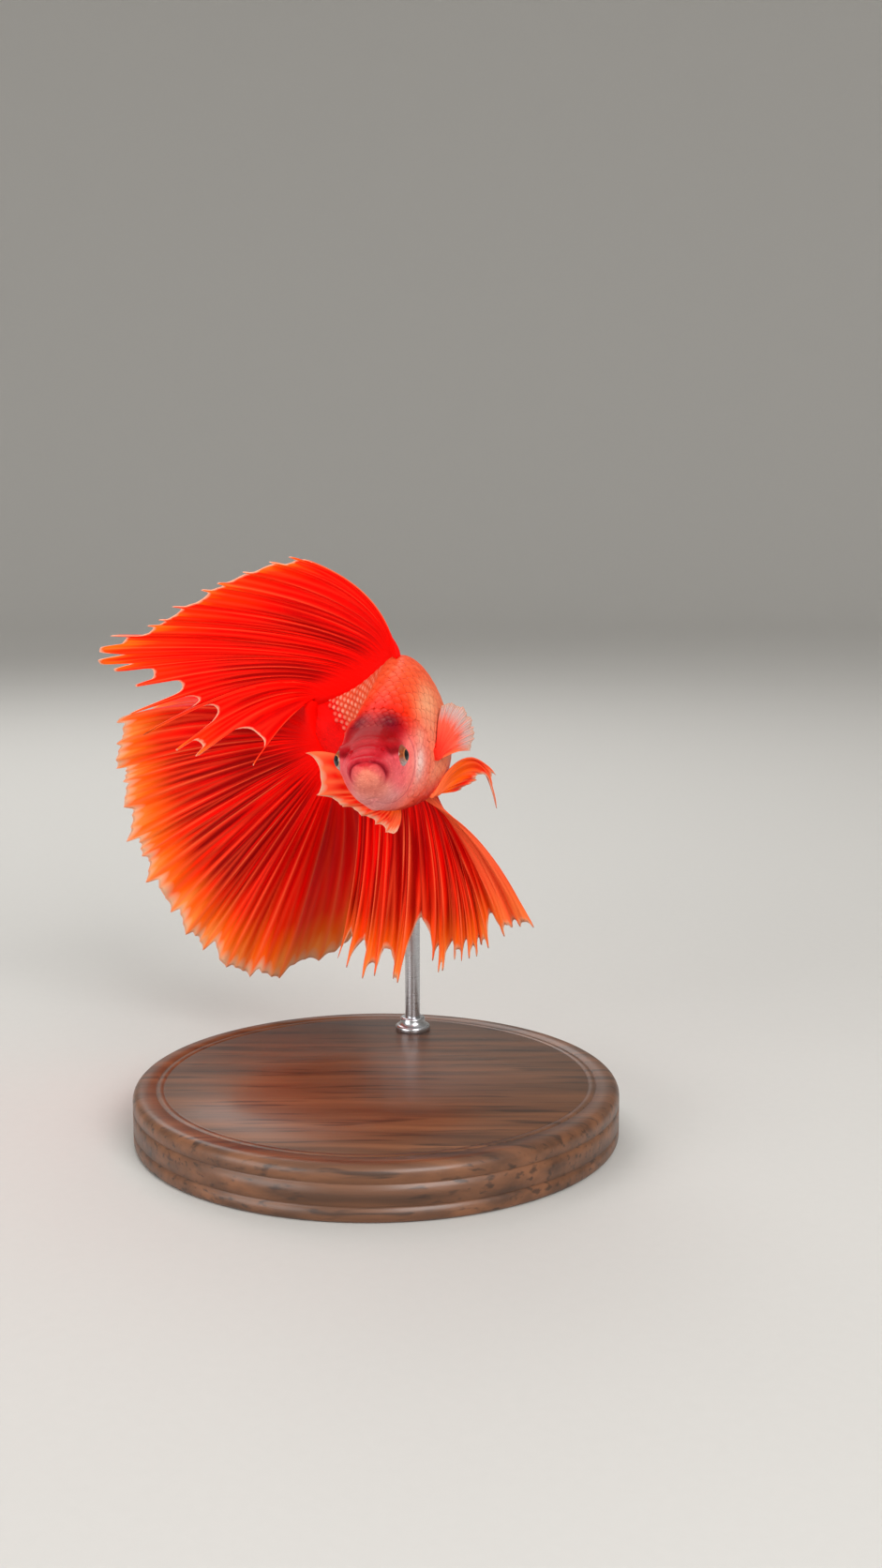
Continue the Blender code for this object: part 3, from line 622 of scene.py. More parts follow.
# place, degrees from the crown on both sides, spread along and round, colour, share
PATCHES = (
    (9.9, 0.0, 1.5, 15.0, (240, 30, 2), 0.9),        # nape
    (7.5, 24.0, 1.6, 17.0, (96, 0, 26), 0.8),        # crown
    (5.4, 10.0, 1.1, 26.0, (132, 0, 4), 0.65),       # forehead
    (3.4, 0.0, 0.3, 38.0, (206, 34, 44), 0.4),       # brow band, painted highlight
    (1.8, 0.0, 0.28, 46.0, (214, 66, 68), 0.35),     # muzzle band, painted highlight
    (3.2, 58.0, 0.7, 13.0, (112, 2, 10), 0.85),      # painted shade in the hollow before the eye
    (1.3, 156.0, 2.1, 52.0, (232, 138, 116), 0.5),   # jaw
    (14.0, 176.0, 2.8, 20.0, (150, 0, 6), 0.85),     # painted shade in the hollow before the anal fin
    (9.0, 101.0, 1.4, 20.0, (255, 216, 206), 0.85),  # cheek shine
    (10.0, 72.0, 0.9, 10.0, (255, 186, 156), 0.45),  # shine over the gill cover
    (15.5, 54.0, 3.6, 17.0, (255, 178, 134), 0.75),  # painted highlight on the shoulder
)


def gape(s, angle):
    """Distance above the plane of the closed mouth, and 1 in front of its corners, 0 behind."""
    slope = math.radians(GAPE_SLOPE)
    high = section(s, angle)[1] - GAPE_START[1]
    above = high * math.cos(slope) + (s - GAPE_START[0]) * math.sin(slope)
    return above, 1.0 - ease(*GAPE_CORNER, s)


def behind(edge, s, angle):
    """How far a place lies behind an edge given as (degrees from the crown, place) rows."""
    table = np.array(edge, float)
    return s - np.interp(np.abs(angle), table[:, 0], table[:, 1])


def spot(points, place, angle, radius):
    """Hump of height 1 on both flanks round the skin's point at that place and angle."""
    reach = [np.linalg.norm(points - body(place, side * angle), axis=-1) for side in SIDES]
    return bell(np.minimum(*reach), radius)


def cheek_groove(s, angle, high, low):
    """1 along the groove, which starts between two angles down the cheek, fainter at the throat."""
    turned = np.abs(angle)
    fade = ease(high, low, turned) * (1.0 - 0.6 * ease(138.0, 166.0, turned))
    return bell(behind(CHEEK_GROOVE, s, turned), 0.2) * fade


def gill_relief(s, angle):
    """Gill cover rising to its rear edge, the drop behind it, and the groove in front of it."""
    rear = behind(COVER_EDGE, s, angle)
    fall = -0.18 * np.exp(-np.clip(rear, 0.0, 40.0) / 0.6)
    plate = np.where(rear < 0.0, 0.2 * ease(-3.2, -0.1, rear), fall)
    plate = plate * ease(34.0, 56.0, np.abs(angle))
    return plate - 0.1 * cheek_groove(s, angle, 48.0, 72.0)


def relief(s, angle, points, gape_depth):
    """Height of the skin's detail: lips, nostrils, gill covers, throat and cheek grooves."""
    above, open_front = gape(s, angle)
    corner = 0.45 + 0.55 * ease(8.0, 46.0, np.abs(angle))
    lips = 0.06 * bell(above - 0.34, 0.24) + 0.04 * bell(above + 0.34, 0.26)
    lips -= gape_depth * corner * bell(above, 0.16) + 0.04 * bell(above - 0.8, 0.14)
    high = lips * open_front + gill_relief(s, angle)
    top = 1.0 - ease(26.0, 62.0, np.abs(angle))
    for place, deep in FOREHEAD_FOLDS:
        high -= deep * top * bell(s - place - 0.3 * np.cos(np.radians(2.0 * angle)), 0.16)
    for place, turn, radius, deep in NOSTRILS:
        high -= deep * spot(points, place, turn, radius)
        high += 0.5 * deep * (spot(points, place, turn, 1.9 * radius) -
                              spot(points, place, turn, 1.5 * radius))
    for place, turn, radius, deep in (HOLLOW, CHIN_NOTCH):
        high -= deep * spot(points, place, turn, radius)
    return high


def slanted(s, angle):
    """Place along the spine, counted on by the slant of the tail root's edge down the flank."""
    return s + TAIL_SLANT * np.abs(angle)


def tail_root(s, angle):
    """1 on the red root of the tail fin, whose edge lies further forward down the flank."""
    return ease(*TAIL_RED, slanted(s, angle))


def tint(s, angle):
    """Linear colour of skin and coat: bands along the spine, patches, mouth, gill edges, painted
    shade and highlights.
    """
    s, angle = np.broadcast_arrays(np.asarray(s, float), np.asarray(angle, float))
    turned = np.abs(angle)
    crown, flank, belly = np.split(through(COAT, s), 3, axis=-1)
    low = ease(38.0, 74.0, turned)[..., None]
    under = ease(118.0, 150.0, turned)[..., None]
    colour = crown + (flank - crown) * low + (belly - flank) * under
    above, open_front = gape(s, angle)
    corner = 0.35 + 0.65 * ease(8.0, 46.0, turned)
    rear = behind(COVER_EDGE, s, angle)
    layers = [
        (bell((s - place) / along, 1.0) * bell((turned - turn) / around, 1.0) * share, shade)
        for place, turn, along, around, shade, share in PATCHES
    ]
    layers += [
        (0.3 * bell(above - 0.42, 0.2) * open_front, (214, 64, 76)),
        # painted shade in and round the mouth's cleft
        (0.45 * bell(above, 0.4) * open_front * corner, (160, 8, 32)),
        (0.6 * bell(above, 0.15) * open_front * corner, (112, 2, 18)),
        (0.55 * bell(rear - 0.2, 0.22) * ease(40.0, 60.0, turned), (196, 30, 30)),
        # painted shade along the cheek groove
        (0.45 * cheek_groove(s, angle, 50.0, 75.0), (150, 62, 74)),
        (tail_root(s, turned), (255, 2, 0)),
    ]
    for share, shade in layers:
        colour = colour + (np.array(shade, float) - colour) * share[..., None]
    return linear(np.clip(colour, 0.0, 255.0))


def eye_frame(side, forward):
    """Centre of an eyeball and the direction that is turned forward from its flank."""
    point, back, left, up = spine(EYE_PLACE)
    turn = math.radians(forward)
    axis = left * side * math.cos(turn) - back * math.sin(turn) + up * 0.06
    return point + up * EYE_HEIGHT + left * EYE_OUT * side, unit(axis), up


def open_orbit(points, side):
    """Skin drawn to a cone that dips under the eyeball inside the lid and hugs it outside."""
    centre, axis, _ = eye_frame(side, LID_TURN)
    offset = points - centre
    height = offset @ axis
    reach = np.linalg.norm(offset - height[..., None] * axis, axis=-1)
    ball = np.sqrt(np.maximum(EYE_RADIUS**2 - reach**2, 0.0))
    lid = math.sqrt(EYE_RADIUS**2 - LID_RADIUS**2) + LID_RISE
    sunk = ball - ORBIT_GAP
    climb = ease(LID_RADIUS - 0.13, LID_RADIUS, reach)
    goal = sunk + (lid - 0.3 * np.maximum(reach - LID_RADIUS, 0.0) - sunk) * climb
    share = 1.0 - ease(LID_RADIUS + 0.12, LID_RADIUS + 0.8, reach)
    share = np.where(height > -0.8, share, 0.0)
    return points + axis * (share * (goal - height))[..., None]


def skin_piece(settings):
    """Rings of the body's section along the spine, raised along their normals by the relief."""
    rings = [np.arange(start, end - 1e-6, step) for start, end, step in SKIN_RINGS]
    s = np.append(np.concatenate(rings), LENGTH)[:, None]
    turn = (np.arange(SKIN_AROUND) * 360.0 / SKIN_AROUND)[None, :]
    turn = np.where(turn > 180.0, turn - 360.0, turn)
    s, turn = np.broadcast_arrays(s, turn)
    depth = settings.skin_depth / MM * ease(5.0, 11.0, s)
    points = body(s, turn)
    around = np.roll(points, -1, axis=1) - np.roll(points, 1, axis=1)
    outward = unit(np.cross(around, np.gradient(points, axis=0)))
    high = relief(s, turn, points, settings.gape_depth / MM) - depth
    points = points + outward * high[..., None]
    for side in SIDES:
        points = open_orbit(points, side)
    colour = tint(s, turn)
    snout = points[0].mean(axis=0) - frame_at(0.0)[0] * 0.08
    every = np.concatenate([points.reshape(-1, 3), snout[None]])
    colour = np.concatenate([colour.reshape(-1, 3), colour[0].mean(axis=0)[None]])
    count, half = len(points), SKIN_AROUND // 2
    last = (count - 1) * SKIN_AROUND
    left, right = last + np.arange(half), last + (-np.arange(half)) % SKIN_AROUND
    cap = np.stack([left[1:-1], left[2:], right[2:], right[1:-1]], axis=-1)
    ends = np.array([(left[0], left[1], right[1]), (left[-1], last + half, right[-1])])
    front = fan(np.arange(SKIN_AROUND), len(every) - 1)[:, ::-1]
    faces = [tube_faces(count, SKIN_AROUND)[:, ::-1], front, cap, ends]
    return new_piece("betta_skin", every, faces, skin_finish("moist_skin", False), {"tint": colour})


# ---- scales
SCALE_SIDES = 12
# rings of a scale's disc: share of its radius, height over its mid-plane
SCALE_RINGS = ((0.45, 1.0), (0.84, 0.75), (1.0, 0.1), (0.8, -0.8))
BODY_SCALES = {"rows": 30, "places": (8.6, 41.3), "pitch": (0.95, 0.58), "seed": 3}
HEAD_SCALES = {"rows": 38, "places": (5.4, 11.8), "pitch": (0.6, 0.66), "seed": 5}
# half length and half width as shares of the spacing, half thickness, and how uneven they lie
SCALE_LONG, SCALE_WIDE, SCALE_THICK, UNEVEN = 0.98, 0.6, 0.02, 0.012
BAKE_PATCH = 0.0015            # half the size of a scale's patch on the bake map


def scale_places(rows, places, pitch):
    """Staggered rows of scales, evenly spaced by the arc round each section of the body."""
    first, last = places
    columns, at = [], first
    while at < last:
        columns.append(at)
        at += np.interp(at, places, pitch)
    turn = np.linspace(-180.0, 180.0, 241)
    found = []
    for number, at in enumerate(columns):
        x, z = section(np.full_like(turn, at), turn)
        arc = np.concatenate([[0.0], np.cumsum(np.hypot(np.diff(x), np.diff(z)))])
        wanted = (np.arange(rows) + 0.5 * (number % 2)) / rows * arc[-1]
        angle = np.interp(wanted, arc, turn)
        spread = np.interp(wanted + arc[-1] / rows / 2.0, arc, turn)
        spread -= np.interp(wanted - arc[-1] / rows / 2.0, arc, turn)
        long = np.full(rows, np.interp(at, places, pitch))
        found.append(np.stack([np.full(rows, at), angle, long, np.maximum(spread, 4.0)], axis=1))
    return np.concatenate(found)


def scale_coat(name, plan, keep, lift, depth, finish):
    """Each scale is a disc of rings laid on the skin, tilted so that its free edge stands out."""
    placed = scale_places(plan["rows"], plan["places"], plan["pitch"])
    placed = placed[keep(placed[:, 0], placed[:, 1])]
    count = len(placed)
    rings = np.array(SCALE_RINGS)
    along, around = (
        np.append((rings[:, :1] * share).ravel(), (0.0, 0.0)) for share in circle(SCALE_SIDES))
    thick = np.append(np.repeat(rings[:, 1], SCALE_SIDES), (1.0, -0.8))
    around = around * (1.0 - 0.12 * along)
    s = placed[:, :1] + along * placed[:, 2:3] * SCALE_LONG
    angle = placed[:, 1:2] + around * placed[:, 3:4] * SCALE_WIDE
    lot = np.random.default_rng(plan["seed"]).random((count, 1))
    out = gill_relief(s, angle) - depth + lift * (0.12 + 0.88 * (along + 1.0) / 2.0)
    out = out + SCALE_THICK * thick + UNEVEN * (lot - 0.5)
    points = body(np.clip(s, 0.0, LENGTH), angle, out)
    wrapped = (angle + 180.0) % 360.0 - 180.0
    edge = ease(0.45, 0.95, along)
    colour = tint(s, wrapped) * (0.93 + 0.1 * lot + 0.14 * edge)[..., None]
    # pale dots near each scale's free edge, partly iridophores and partly painted highlight, fewer
    # on the red tail root
    dot_and_highlight_share = ease(23.0, 30.0, s) * (1.0 - ease(90.0, 118.0, np.abs(wrapped)))
    dot_and_highlight_share = 0.1 * lot + dot_and_highlight_share * (0.45 + 0.5 * lot) * (1.0 - 0.7 * tail_root(s - 0.9, wrapped))
    iridophore_and_highlight = dot_and_highlight_share * bell(along - 0.62, 0.34) * bell(around, 0.42)
    own = np.arange(count)[:, None] * len(along)
    disc = tube_faces(len(rings), SCALE_SIDES)[:, ::-1]
    top = fan(np.arange(SCALE_SIDES), len(along) - 2)[:, ::-1]
    base = fan((len(rings) - 1) * SCALE_SIDES + np.arange(SCALE_SIDES), len(along) - 1)
    faces = [(block[None] + own[..., None]).reshape(-1, block.shape[1])
             for block in (disc, top, base)]
    root = np.stack([placed[:, 0] / LENGTH, (placed[:, 1] + 180.0) / 360.0], axis=1)
    patch = np.stack([along, around], axis=1) * BAKE_PATCH
    bake = 0.01 + 0.98 * np.clip(root, 0.0, 1.0)[:, None] + patch[None]
    values = {"tint": np.clip(colour, 0.0, 1.0).reshape(-1, 3), "iridophore_and_highlight": iridophore_and_highlight.ravel()}
    return new_piece(name, points, faces, finish, values, {"OFBake": bake.reshape(-1, 2)})


# ---- eyes
def eye_piece(name, side, finish):
    """Ball in rings round the line of sight, swelling a little over the iris."""
    centre, axis, up = eye_frame(side, EYE_TURNS[side])
    aside = unit(np.cross(up, axis))
    over = np.cross(axis, aside)
    polar = math.pi * (np.arange(1, EYE_RINGS) / EYE_RINGS) ** 1.25
    bulge = EYE_RADIUS + 0.1 * (1.0 - ease(0.0, math.radians(42.0), polar))
    ring = np.stack(circle(EYE_AROUND), axis=1) @ (aside, over)
    ring = np.sin(polar)[:, None, None] * ring + np.cos(polar)[:, None, None] * axis
    poles = np.outer((bulge[0], -bulge[-1]), axis)
    away, faces = capped(bulge[:, None, None] * ring, poles)
    every, away = centre + away, unit(away)
    values = {"ring": np.arccos(np.clip(away @ axis, -1.0, 1.0)) / math.pi,
              "upper": 0.5 + 0.5 * (away @ unit(up - 0.35 * aside))}
    return new_piece(name, every, faces, finish, values)


# ---- fins
FLESH = 0.36                   # half thickness of a fin where it leaves the body
ROOT_SUNK = (0.45, -0.5)       # height of a fin's first row over the skin, and of its buried end
FINGER = 0.0045                # half width of a ray's free tip, as a share of the fin's root


def fingered(share, gap, taper=(0.5, 1.6), web_rise=0.42, web_power=3.0):
    """Margin from one ray tip to the next: slim round fingers with a shallow U of web between."""
    near = 2.0 * np.minimum(share, 1.0 - share)
    finger = 1.0 - ease(*taper, near * gap / 2.0 / FINGER)
    web = web_rise * (1.0 - near) ** web_power
    return web + (1.0 - web) * finger


def flamed(share, gap):
    """The same with webs like pointed arches between ray tips that taper as flames do."""
    return fingered(share, gap, (0.4, 1.3), 0.86, 2.2)


def pointed(share, gap):
    """Margin of cubic U-shaped webs that rise to pointed ray tips."""
    return np.abs(2.0 * share - 1.0) ** 3


def toothed(share, gap):
    """Margin like a saw: a quick drop behind each tip, then a slope out to the next one."""
    return np.maximum(1.0 - ease(0.0, 0.2, share), share**1.5)


def margin_columns(tips, density, shape, slim):
    """Columns between ray tips, denser near the tips, with the margin's reach at each."""
    places, reach, number = [], [], []
    for index, ((place, tip, web), (next_place, next_tip, _)) in enumerate(zip(tips, tips[1:])):
        gap = next_place - place
        count = max(18, round(gap * density))
        share = 0.5 - 0.5 * np.cos(np.pi * np.arange(count) / count)
        share = 0.75 * share + 0.25 * np.arange(count) / count
        edge = np.where(share < 0.5, tip, next_tip)
        if shape is toothed:
            edge = tip + (next_tip - tip) * share
        places.append(place + share * gap)
        reach.append(web + (edge - web) * shape(share, gap / slim(place + share * gap)))
        number.append(index + share)
    places.append([tips[-1][0]])
    reach.append([tips[-1][1]])
    number.append([len(tips) - 1.0])
    return np.concatenate(places), np.concatenate(reach), np.concatenate(number)


def caudal_tips():
    """Uneven teeth; the folded upper lobe has a smoother rim than the open fan."""
    number = np.arange(CAUDAL_TEETH + 1)
    sway = 0.22 * np.sin(1.9 * number) * np.sin(np.pi * number / CAUDAL_TEETH)
    place = (number + sway) / CAUDAL_TEETH
    open_share = ease(0.25, 0.4, place)
    low_lobe = 0.055 * bell(place - 0.957, 0.028)
    tall = 1.0 + 0.014 * np.sin(2.4 * number) * open_share + low_lobe
    web = 0.985 - (0.022 + 0.012 * np.sin(3.7 * number)) * open_share + low_lobe
    return np.stack([place, tall, web], axis=1).tolist()


def ray_lines(x, t):
    """1 along a ray and 0 between rays: a ray at each whole number, and forks of one between."""
    off = np.abs((x + 0.5) % 1.0 - 0.5)
    fork = np.abs(np.abs(0.5 - off) - 0.16 * ease(0.3, 0.8, t))
    return np.maximum(bell(off, 0.085), 0.75 * bell(fork, 0.075))


def fin_piece(name, fins, finish, stations, tips, directions, root, sunk, margin, rows, density,
              ripples, shade, pale, fringe=0.0, flesh=FLESH, slim=np.ones_like):
    """Fan of quadratic Bezier rays cut at the margin, rippled along its normal, ribbed by rays."""
    places, reach, x = margin_columns(tips, density, margin, slim)
    spike = np.abs(2.0 * (3.0 * x % 1.0) - 1.0)
    reach = reach + fringe * (spike**2 - 0.3)
    polar = through([(place, *bow, *tip) for place, bow, tip in stations], places)
    start = root(places, sunk[0])
    bow = start + aim(polar[:, :3], directions)
    tip = start + aim(polar[:, 3:], directions)
    t = np.linspace(0.0, 1.0, rows)[None, :] * reach[:, None]
    w = t[..., None]
    sheet = start[:, None] * (1 - w) ** 2 + bow[:, None] * 2 * w * (1 - w) + tip[:, None] * w**2
    normal = unit(np.cross(np.gradient(sheet, axis=0), np.gradient(sheet, axis=1)))
    u = places[:, None] + 0.0 * t
    wave = sum(
        height * np.sin(2.0 * np.pi * (count * u + drift * np.sin(7.0 * u + 3.0 * t))) * t**power
        for height, count, drift, power in ripples
    )
    sheet = sheet + normal * wave[..., None]
    sheet = np.concatenate([root(places, sunk[1])[:, None], sheet], axis=1)
    t = np.concatenate([0.0 * t[:, :1], t], axis=1)
    u = places[:, None] + 0.0 * t
    normal = unit(np.cross(np.gradient(sheet, axis=0), np.gradient(sheet, axis=1)))
    gap = (reach[:, None] - t) * polar[:, 3:4]
    ridge = ray_lines(x[:, None], t) * ease(-0.05, 0.3, t)
    half = fins.web / MM / 2.0 + fins.ray / MM * ridge * (1.0 - 0.35 * t)
    half = half * (0.35 + 0.65 * ease(0.0, 0.5, gap))
    end = np.minimum(u, 1.0 - u)
    half = half + flesh * (1.0 - ease(0.0, 0.2, t)) * ease(0.0, 0.09, end)
    half = half * (0.4 + 0.6 * ease(0.0, 0.02, end))
    top, low = sheet + normal * half[..., None], sheet - normal * half[..., None]
    points = np.concatenate([top, low[:, ::-1]], axis=1)
    columns, rows = t.shape
    lane = np.arange(rows - 1)
    side = np.stack([lane, lane + 1, 2 * rows - 2 - lane, 2 * rows - 1 - lane], axis=-1)
    faces = [tube_faces(columns, 2 * rows), side, (side + (columns - 1) * 2 * rows)[:, ::-1]]

    def both(value):
        """Values of the face on top, then of the face under it, row by row."""
        return np.concatenate([value, value[:, ::-1]], axis=1).ravel()

    values = {"along": both(t), "ridge": both(ridge), "edge": both(gap / 1.6),
              "shade": both(shade(u, t)), "pale": both(pale(u, t))}
    lines = np.stack([both(x[:, None] + 0.0 * t), both(t)], axis=1)
    return new_piece(name, points, faces, finish, values, {"Rays": lines})


def middle_of_fin(t, low=0.06, high=0.8):
    """1 between the root and the outer third of a fin's rays."""
    return ease(low, low + 0.2, t) * (1.0 - ease(high - 0.3, high, t))


def root_line(span, angle, heel=0.0):
    """Root on the skin between two places along the spine; a heel takes its end further back."""
    first, last = span
    return lambda u, out: body(first + (last - first) * u + heel * ease(0.8, 1.0, u), angle, out)


def dorsal_plan():
    """Fan swept back over the body, longest three quarters along it, with fingered tips."""
    return dict(
        stations=DORSAL_RAYS, tips=DORSAL_TIPS, directions=frame_at(DORSAL_FRAME),
        root=root_line(DORSAL_ROOT, 0.0, DORSAL_HEEL), sunk=ROOT_SUNK, margin=fingered, rows=52,
        density=420, slim=lambda u: 1.0 + 2.0 * bell(u - 0.75, 0.05) - 0.74 * ease(0.8, 0.93, u),
        ripples=((0.4, 9, 0.0, 1.5), (0.07, 23, 0.5, 1.0), (0.02, 51, 0.7, 1.0)),
        shade=lambda u, t: middle_of_fin(t, 0.03, 0.85) * (
            0.2 + 0.75 * bell(u - 0.5, 0.2) + 0.85 * bell(u - 0.86, 0.14)),
        pale=lambda u, t: 0.8 * bell(u, 0.008) * ease(0.05, 0.5, t),
    )


def anal_plan():
    """Broad fan under the belly, paler in front, with a margin of flames."""
    return dict(
        stations=ANAL_RAYS, tips=ANAL_TIPS, directions=frame_at(ANAL_FRAME),
        root=root_line(ANAL_ROOT, 180.0), sunk=ROOT_SUNK, margin=flamed, rows=48, density=400,
        ripples=((0.5, 11, 0.0, 1.5), (0.16, 25, 0.5, 0.8), (0.07, 47, 0.7, 1.0)),
        shade=lambda u, t: middle_of_fin(t, -0.1, 0.95) * (0.4 + 0.5 * ease(0.1, 0.3, u)),
        pale=lambda u, t: (1.0 - ease(0.08, 0.18, u)) * (1.0 - 0.35 * t),
    )


def caudal_root(places, out):
    """Upright root at the tail's end, bowed back like the tail itself."""
    point, back, _, up = spine(LENGTH + 0.0 * places)
    high = 1.0 - 2.0 * places
    bow = 0.55 + out + TAIL_BOW * (1.0 - high**2)
    return point + up * (CAUDAL_HALF_ROOT * high)[:, None] + back * bow[:, None]


def caudal_plan():
    """Half moon spread both ways from the tail's end, with a toothed margin."""
    return dict(
        stations=CAUDAL_RAYS, tips=caudal_tips(), directions=frame_at(LENGTH), root=caudal_root,
        sunk=(0.0, -1.6), margin=toothed, rows=60, density=520, fringe=0.009, flesh=0.3,
        ripples=((0.48, 13, 0.0, 1.5), (0.13, 31, 0.5, 1.0), (0.06, 67, 0.7, 1.0)),
        shade=lambda u, t: middle_of_fin(t, 0.03, 0.95) * (
            0.3 + 0.5 * ease(0.25, 0.5, u) + 0.25 * bell(u - 0.68, 0.07)
            - 0.55 * ease(0.76, 0.9, u)),
        pale=lambda u, t: 0.7 * bell(u, 0.03) * ease(0.3, 0.7, t),
    )


# what the four paired fins share
SMALL_FIN = dict(
    margin=pointed, sunk=(0.2, -0.4), flesh=0.22,
    ripples=((0.14, 4.0, 0.3, 1.0), (0.05, 13.0, 0.5, 1.0)),
)


def pectoral_plan(side):
    """Small clear fan of even rays, rooted upright behind the gill cover."""
    low, high = PECTORAL_SPAN
    return dict(
        SMALL_FIN, stations=PECTORAL_RAYS[side], directions=frame_at(PECTORAL_FRAME), rows=26,
        density=130, tips=[(k / 12.0, 1.0 + 0.02 * (-1) ** k, 0.975) for k in range(13)],
        root=lambda u, out: body(PECTORAL_PLACE + 0.4 * u, side * (low + (high - low) * u), out),
        shade=lambda u, t: 0.0 * t,
        pale=lambda u, t: 0.9 * ease(0.86, 0.97, u if side > 0 else 1.0 - u),
    )


def pelvic_plan(side):
    """Slim fin under the breast: a few long rays with deep webs between."""
    pale = {1: lambda u, t: 0.5 * bell(u, 0.06),
            -1: lambda u, t: 0.8 * ease(0.82, 0.95, u) * ease(0.2, 0.6, t)}
    return dict(
        SMALL_FIN, stations=PELVIC_RAYS[side], directions=frame_at(PELVIC_FRAME), rows=40,
        density=120, tips=PELVIC_TIPS[side], root=root_line(PELVIC_PLACE, side * PELVIC_ANGLE),
        shade=lambda u, t: 0.8 * middle_of_fin(t, 0.0, 0.9),
        pale=pale[side],
    )


# ---- stand
def turned(name, profile, sides, finish, centre=(0.0, 0.0)):
    """Profile of (radius, height) points, from the axis under to the axis on top, spun round."""
    rim = np.array(profile, float)
    across, along = circle(sides)
    ring = np.stack([across, along, 0.0 * across], axis=-1)
    points = rim[1:-1, :1, None] * ring + rim[1:-1, 1:, None] * np.array((0.0, 0.0, 1.0))
    every, faces = capped(points, [(0.0, 0.0, rim[0, 1]), (0.0, 0.0, rim[-1, 1])], -1)
    return new_piece(name, every + (*centre, 0.0) - SNOUT, faces, finish)


def rounded(centre, radius, first, last, steps=6):
    """Arc of a profile between two angles in degrees, measured from outward to up."""
    turn = np.radians(np.linspace(first, last, steps))
    return [(centre[0] + radius * math.cos(a), centre[1] + radius * math.sin(a)) for a in turn]


def scribed(radius, height, width, deep, upright):
    """Three points of a V-shaped line cut into the side or the top of a turned piece."""
    across = [(0.0, -width), (-deep, 0.0), (0.0, width)]
    if not upright:
        across = [(width, 0.0), (0.0, -deep), (-width, 0.0)]
    return [(radius + a, height + b) for a, b in across]


def base_profile():
    """Disc with a rounded foot and shoulder, two lines scribed in its side and two on top."""
    side, top = BASE_RADIUS, BASE_THICK
    return [
        (0.0, 0.0), (side - 3.0, 0.0), *rounded((side - 0.6, 0.6), 0.6, -90.0, 0.0),
        *scribed(side, 1.7, 0.16, 0.3, True), *scribed(side, 4.1, 0.12, 0.22, True),
        *rounded((side - 1.1, top - 1.1), 1.1, 0.0, 90.0, 8),
        *scribed(side - 2.6, top, 0.14, 0.22, False), *scribed(side - 3.4, top, 0.1, 0.16, False),
        (8.0, top), (0.0, top),
    ]


def ferrule_profile():
    """Two steps with rounded edges that close in on the rod."""
    inner, top = ROD_RADIUS - 0.05, BASE_THICK
    return [(0.0, top - 0.6), (2.1, top - 0.6), (2.1, top + 0.3),
            *rounded((1.8, top + 0.45), 0.3, 0.0, 90.0), (1.5, top + 0.8),
            *rounded((1.25, top + 1.45), 0.25, 0.0, 90.0), (inner, top + 1.7), (0.0, top + 1.7)]


def rod_path(count=72):
    """Upright line from the base, then a quarter ellipse that ends level inside the flank."""
    foot = np.array((*ROD_FOOT, BASE_THICK)) - SNOUT
    flank = body(ROD_PLACE, ROD_ANGLE)
    way = unit((flank - foot) * (1.0, 1.0, 0.0))
    end = flank + way * ROD_SINK
    turn = np.linspace(0.0, math.pi / 2.0, count)[:, None]
    shoulder = np.array((*foot[:2], end[2] - ROD_BEND))
    level, rise = (end - shoulder) * (1.0, 1.0, 0.0), (end - shoulder) * (0.0, 0.0, 1.0)
    arc = shoulder + level * (1.0 - np.cos(turn)) + rise * np.sin(turn)
    bottom = foot - (0.0, 0.0, ROD_HOLE)
    upright = bottom + (arc[0] - bottom) * np.linspace(0.0, 1.0, 12)[:-1, None]
    return np.concatenate([upright, arc]), way


def rod_piece(finish, sides=24):
    """Circle carried along the rod's path in the plane that the path lies in."""
    path, way = rod_path()
    forward = unit(np.gradient(path, axis=0))
    aside = unit(np.cross(way, (0.0, 0.0, 1.0)))
    over = np.cross(forward, aside)
    level, high = circle(sides)
    ring = level[:, None] * aside + high[:, None] * over[:, None]
    return new_piece("rod", *capped(path[:, None] + ROD_RADIUS * ring, path[[0, -1]], -1), finish)


# ---- studio
def studio_sheet(settings):
    """Paper dish: level floor that rises all round in a quarter circle to an upright wall."""
    bend = np.radians(np.linspace(0.0, 90.0, 24))
    radius, floor, wall, sides = 0.6, 0.8, 1.6, 96
    out = np.concatenate([[0.2], floor + radius * np.sin(bend), [floor + radius]])
    high = np.concatenate([[0.0], radius * (1.0 - np.cos(bend)), [wall]])
    across, along = circle(sides)
    points = np.stack(np.broadcast_arrays(
        out[:, None] * across, out[:, None] * along, high[:, None]), axis=-1)
    every = np.concatenate([points.reshape(-1, 3), np.zeros((1, 3))]) / MM - SNOUT
    paper = Finish("pale_paper", Roughness=0.9, Specular_IOR_Level=0.2)
    tooth = paper.noise(paper.place(), 0.0012, 3.0)
    colour = paper.mix(tooth, 0.97 * np.array(settings.floor), settings.floor)
    finish = paper.done(colour, None, paper.bump(tooth, 0.00005, 0.3))
    faces = [tube_faces(len(out), sides), fan(np.arange(sides), len(every) - 1)]
    new_piece("studio_sheet", every, faces, finish)


def area_light(name, at, aim_at, power, size):
    """Square soft light turned towards a point."""
    light = bpy.data.lights.new(name, "AREA")
    light.energy, light.size = power, size
    lamp = bpy.data.objects.new(name, light)
    lamp.location = at
    lamp.rotation_euler = (Vector(aim_at) - Vector(at)).to_track_quat("-Z", "Y").to_euler()
    bpy.context.scene.collection.objects.link(lamp)


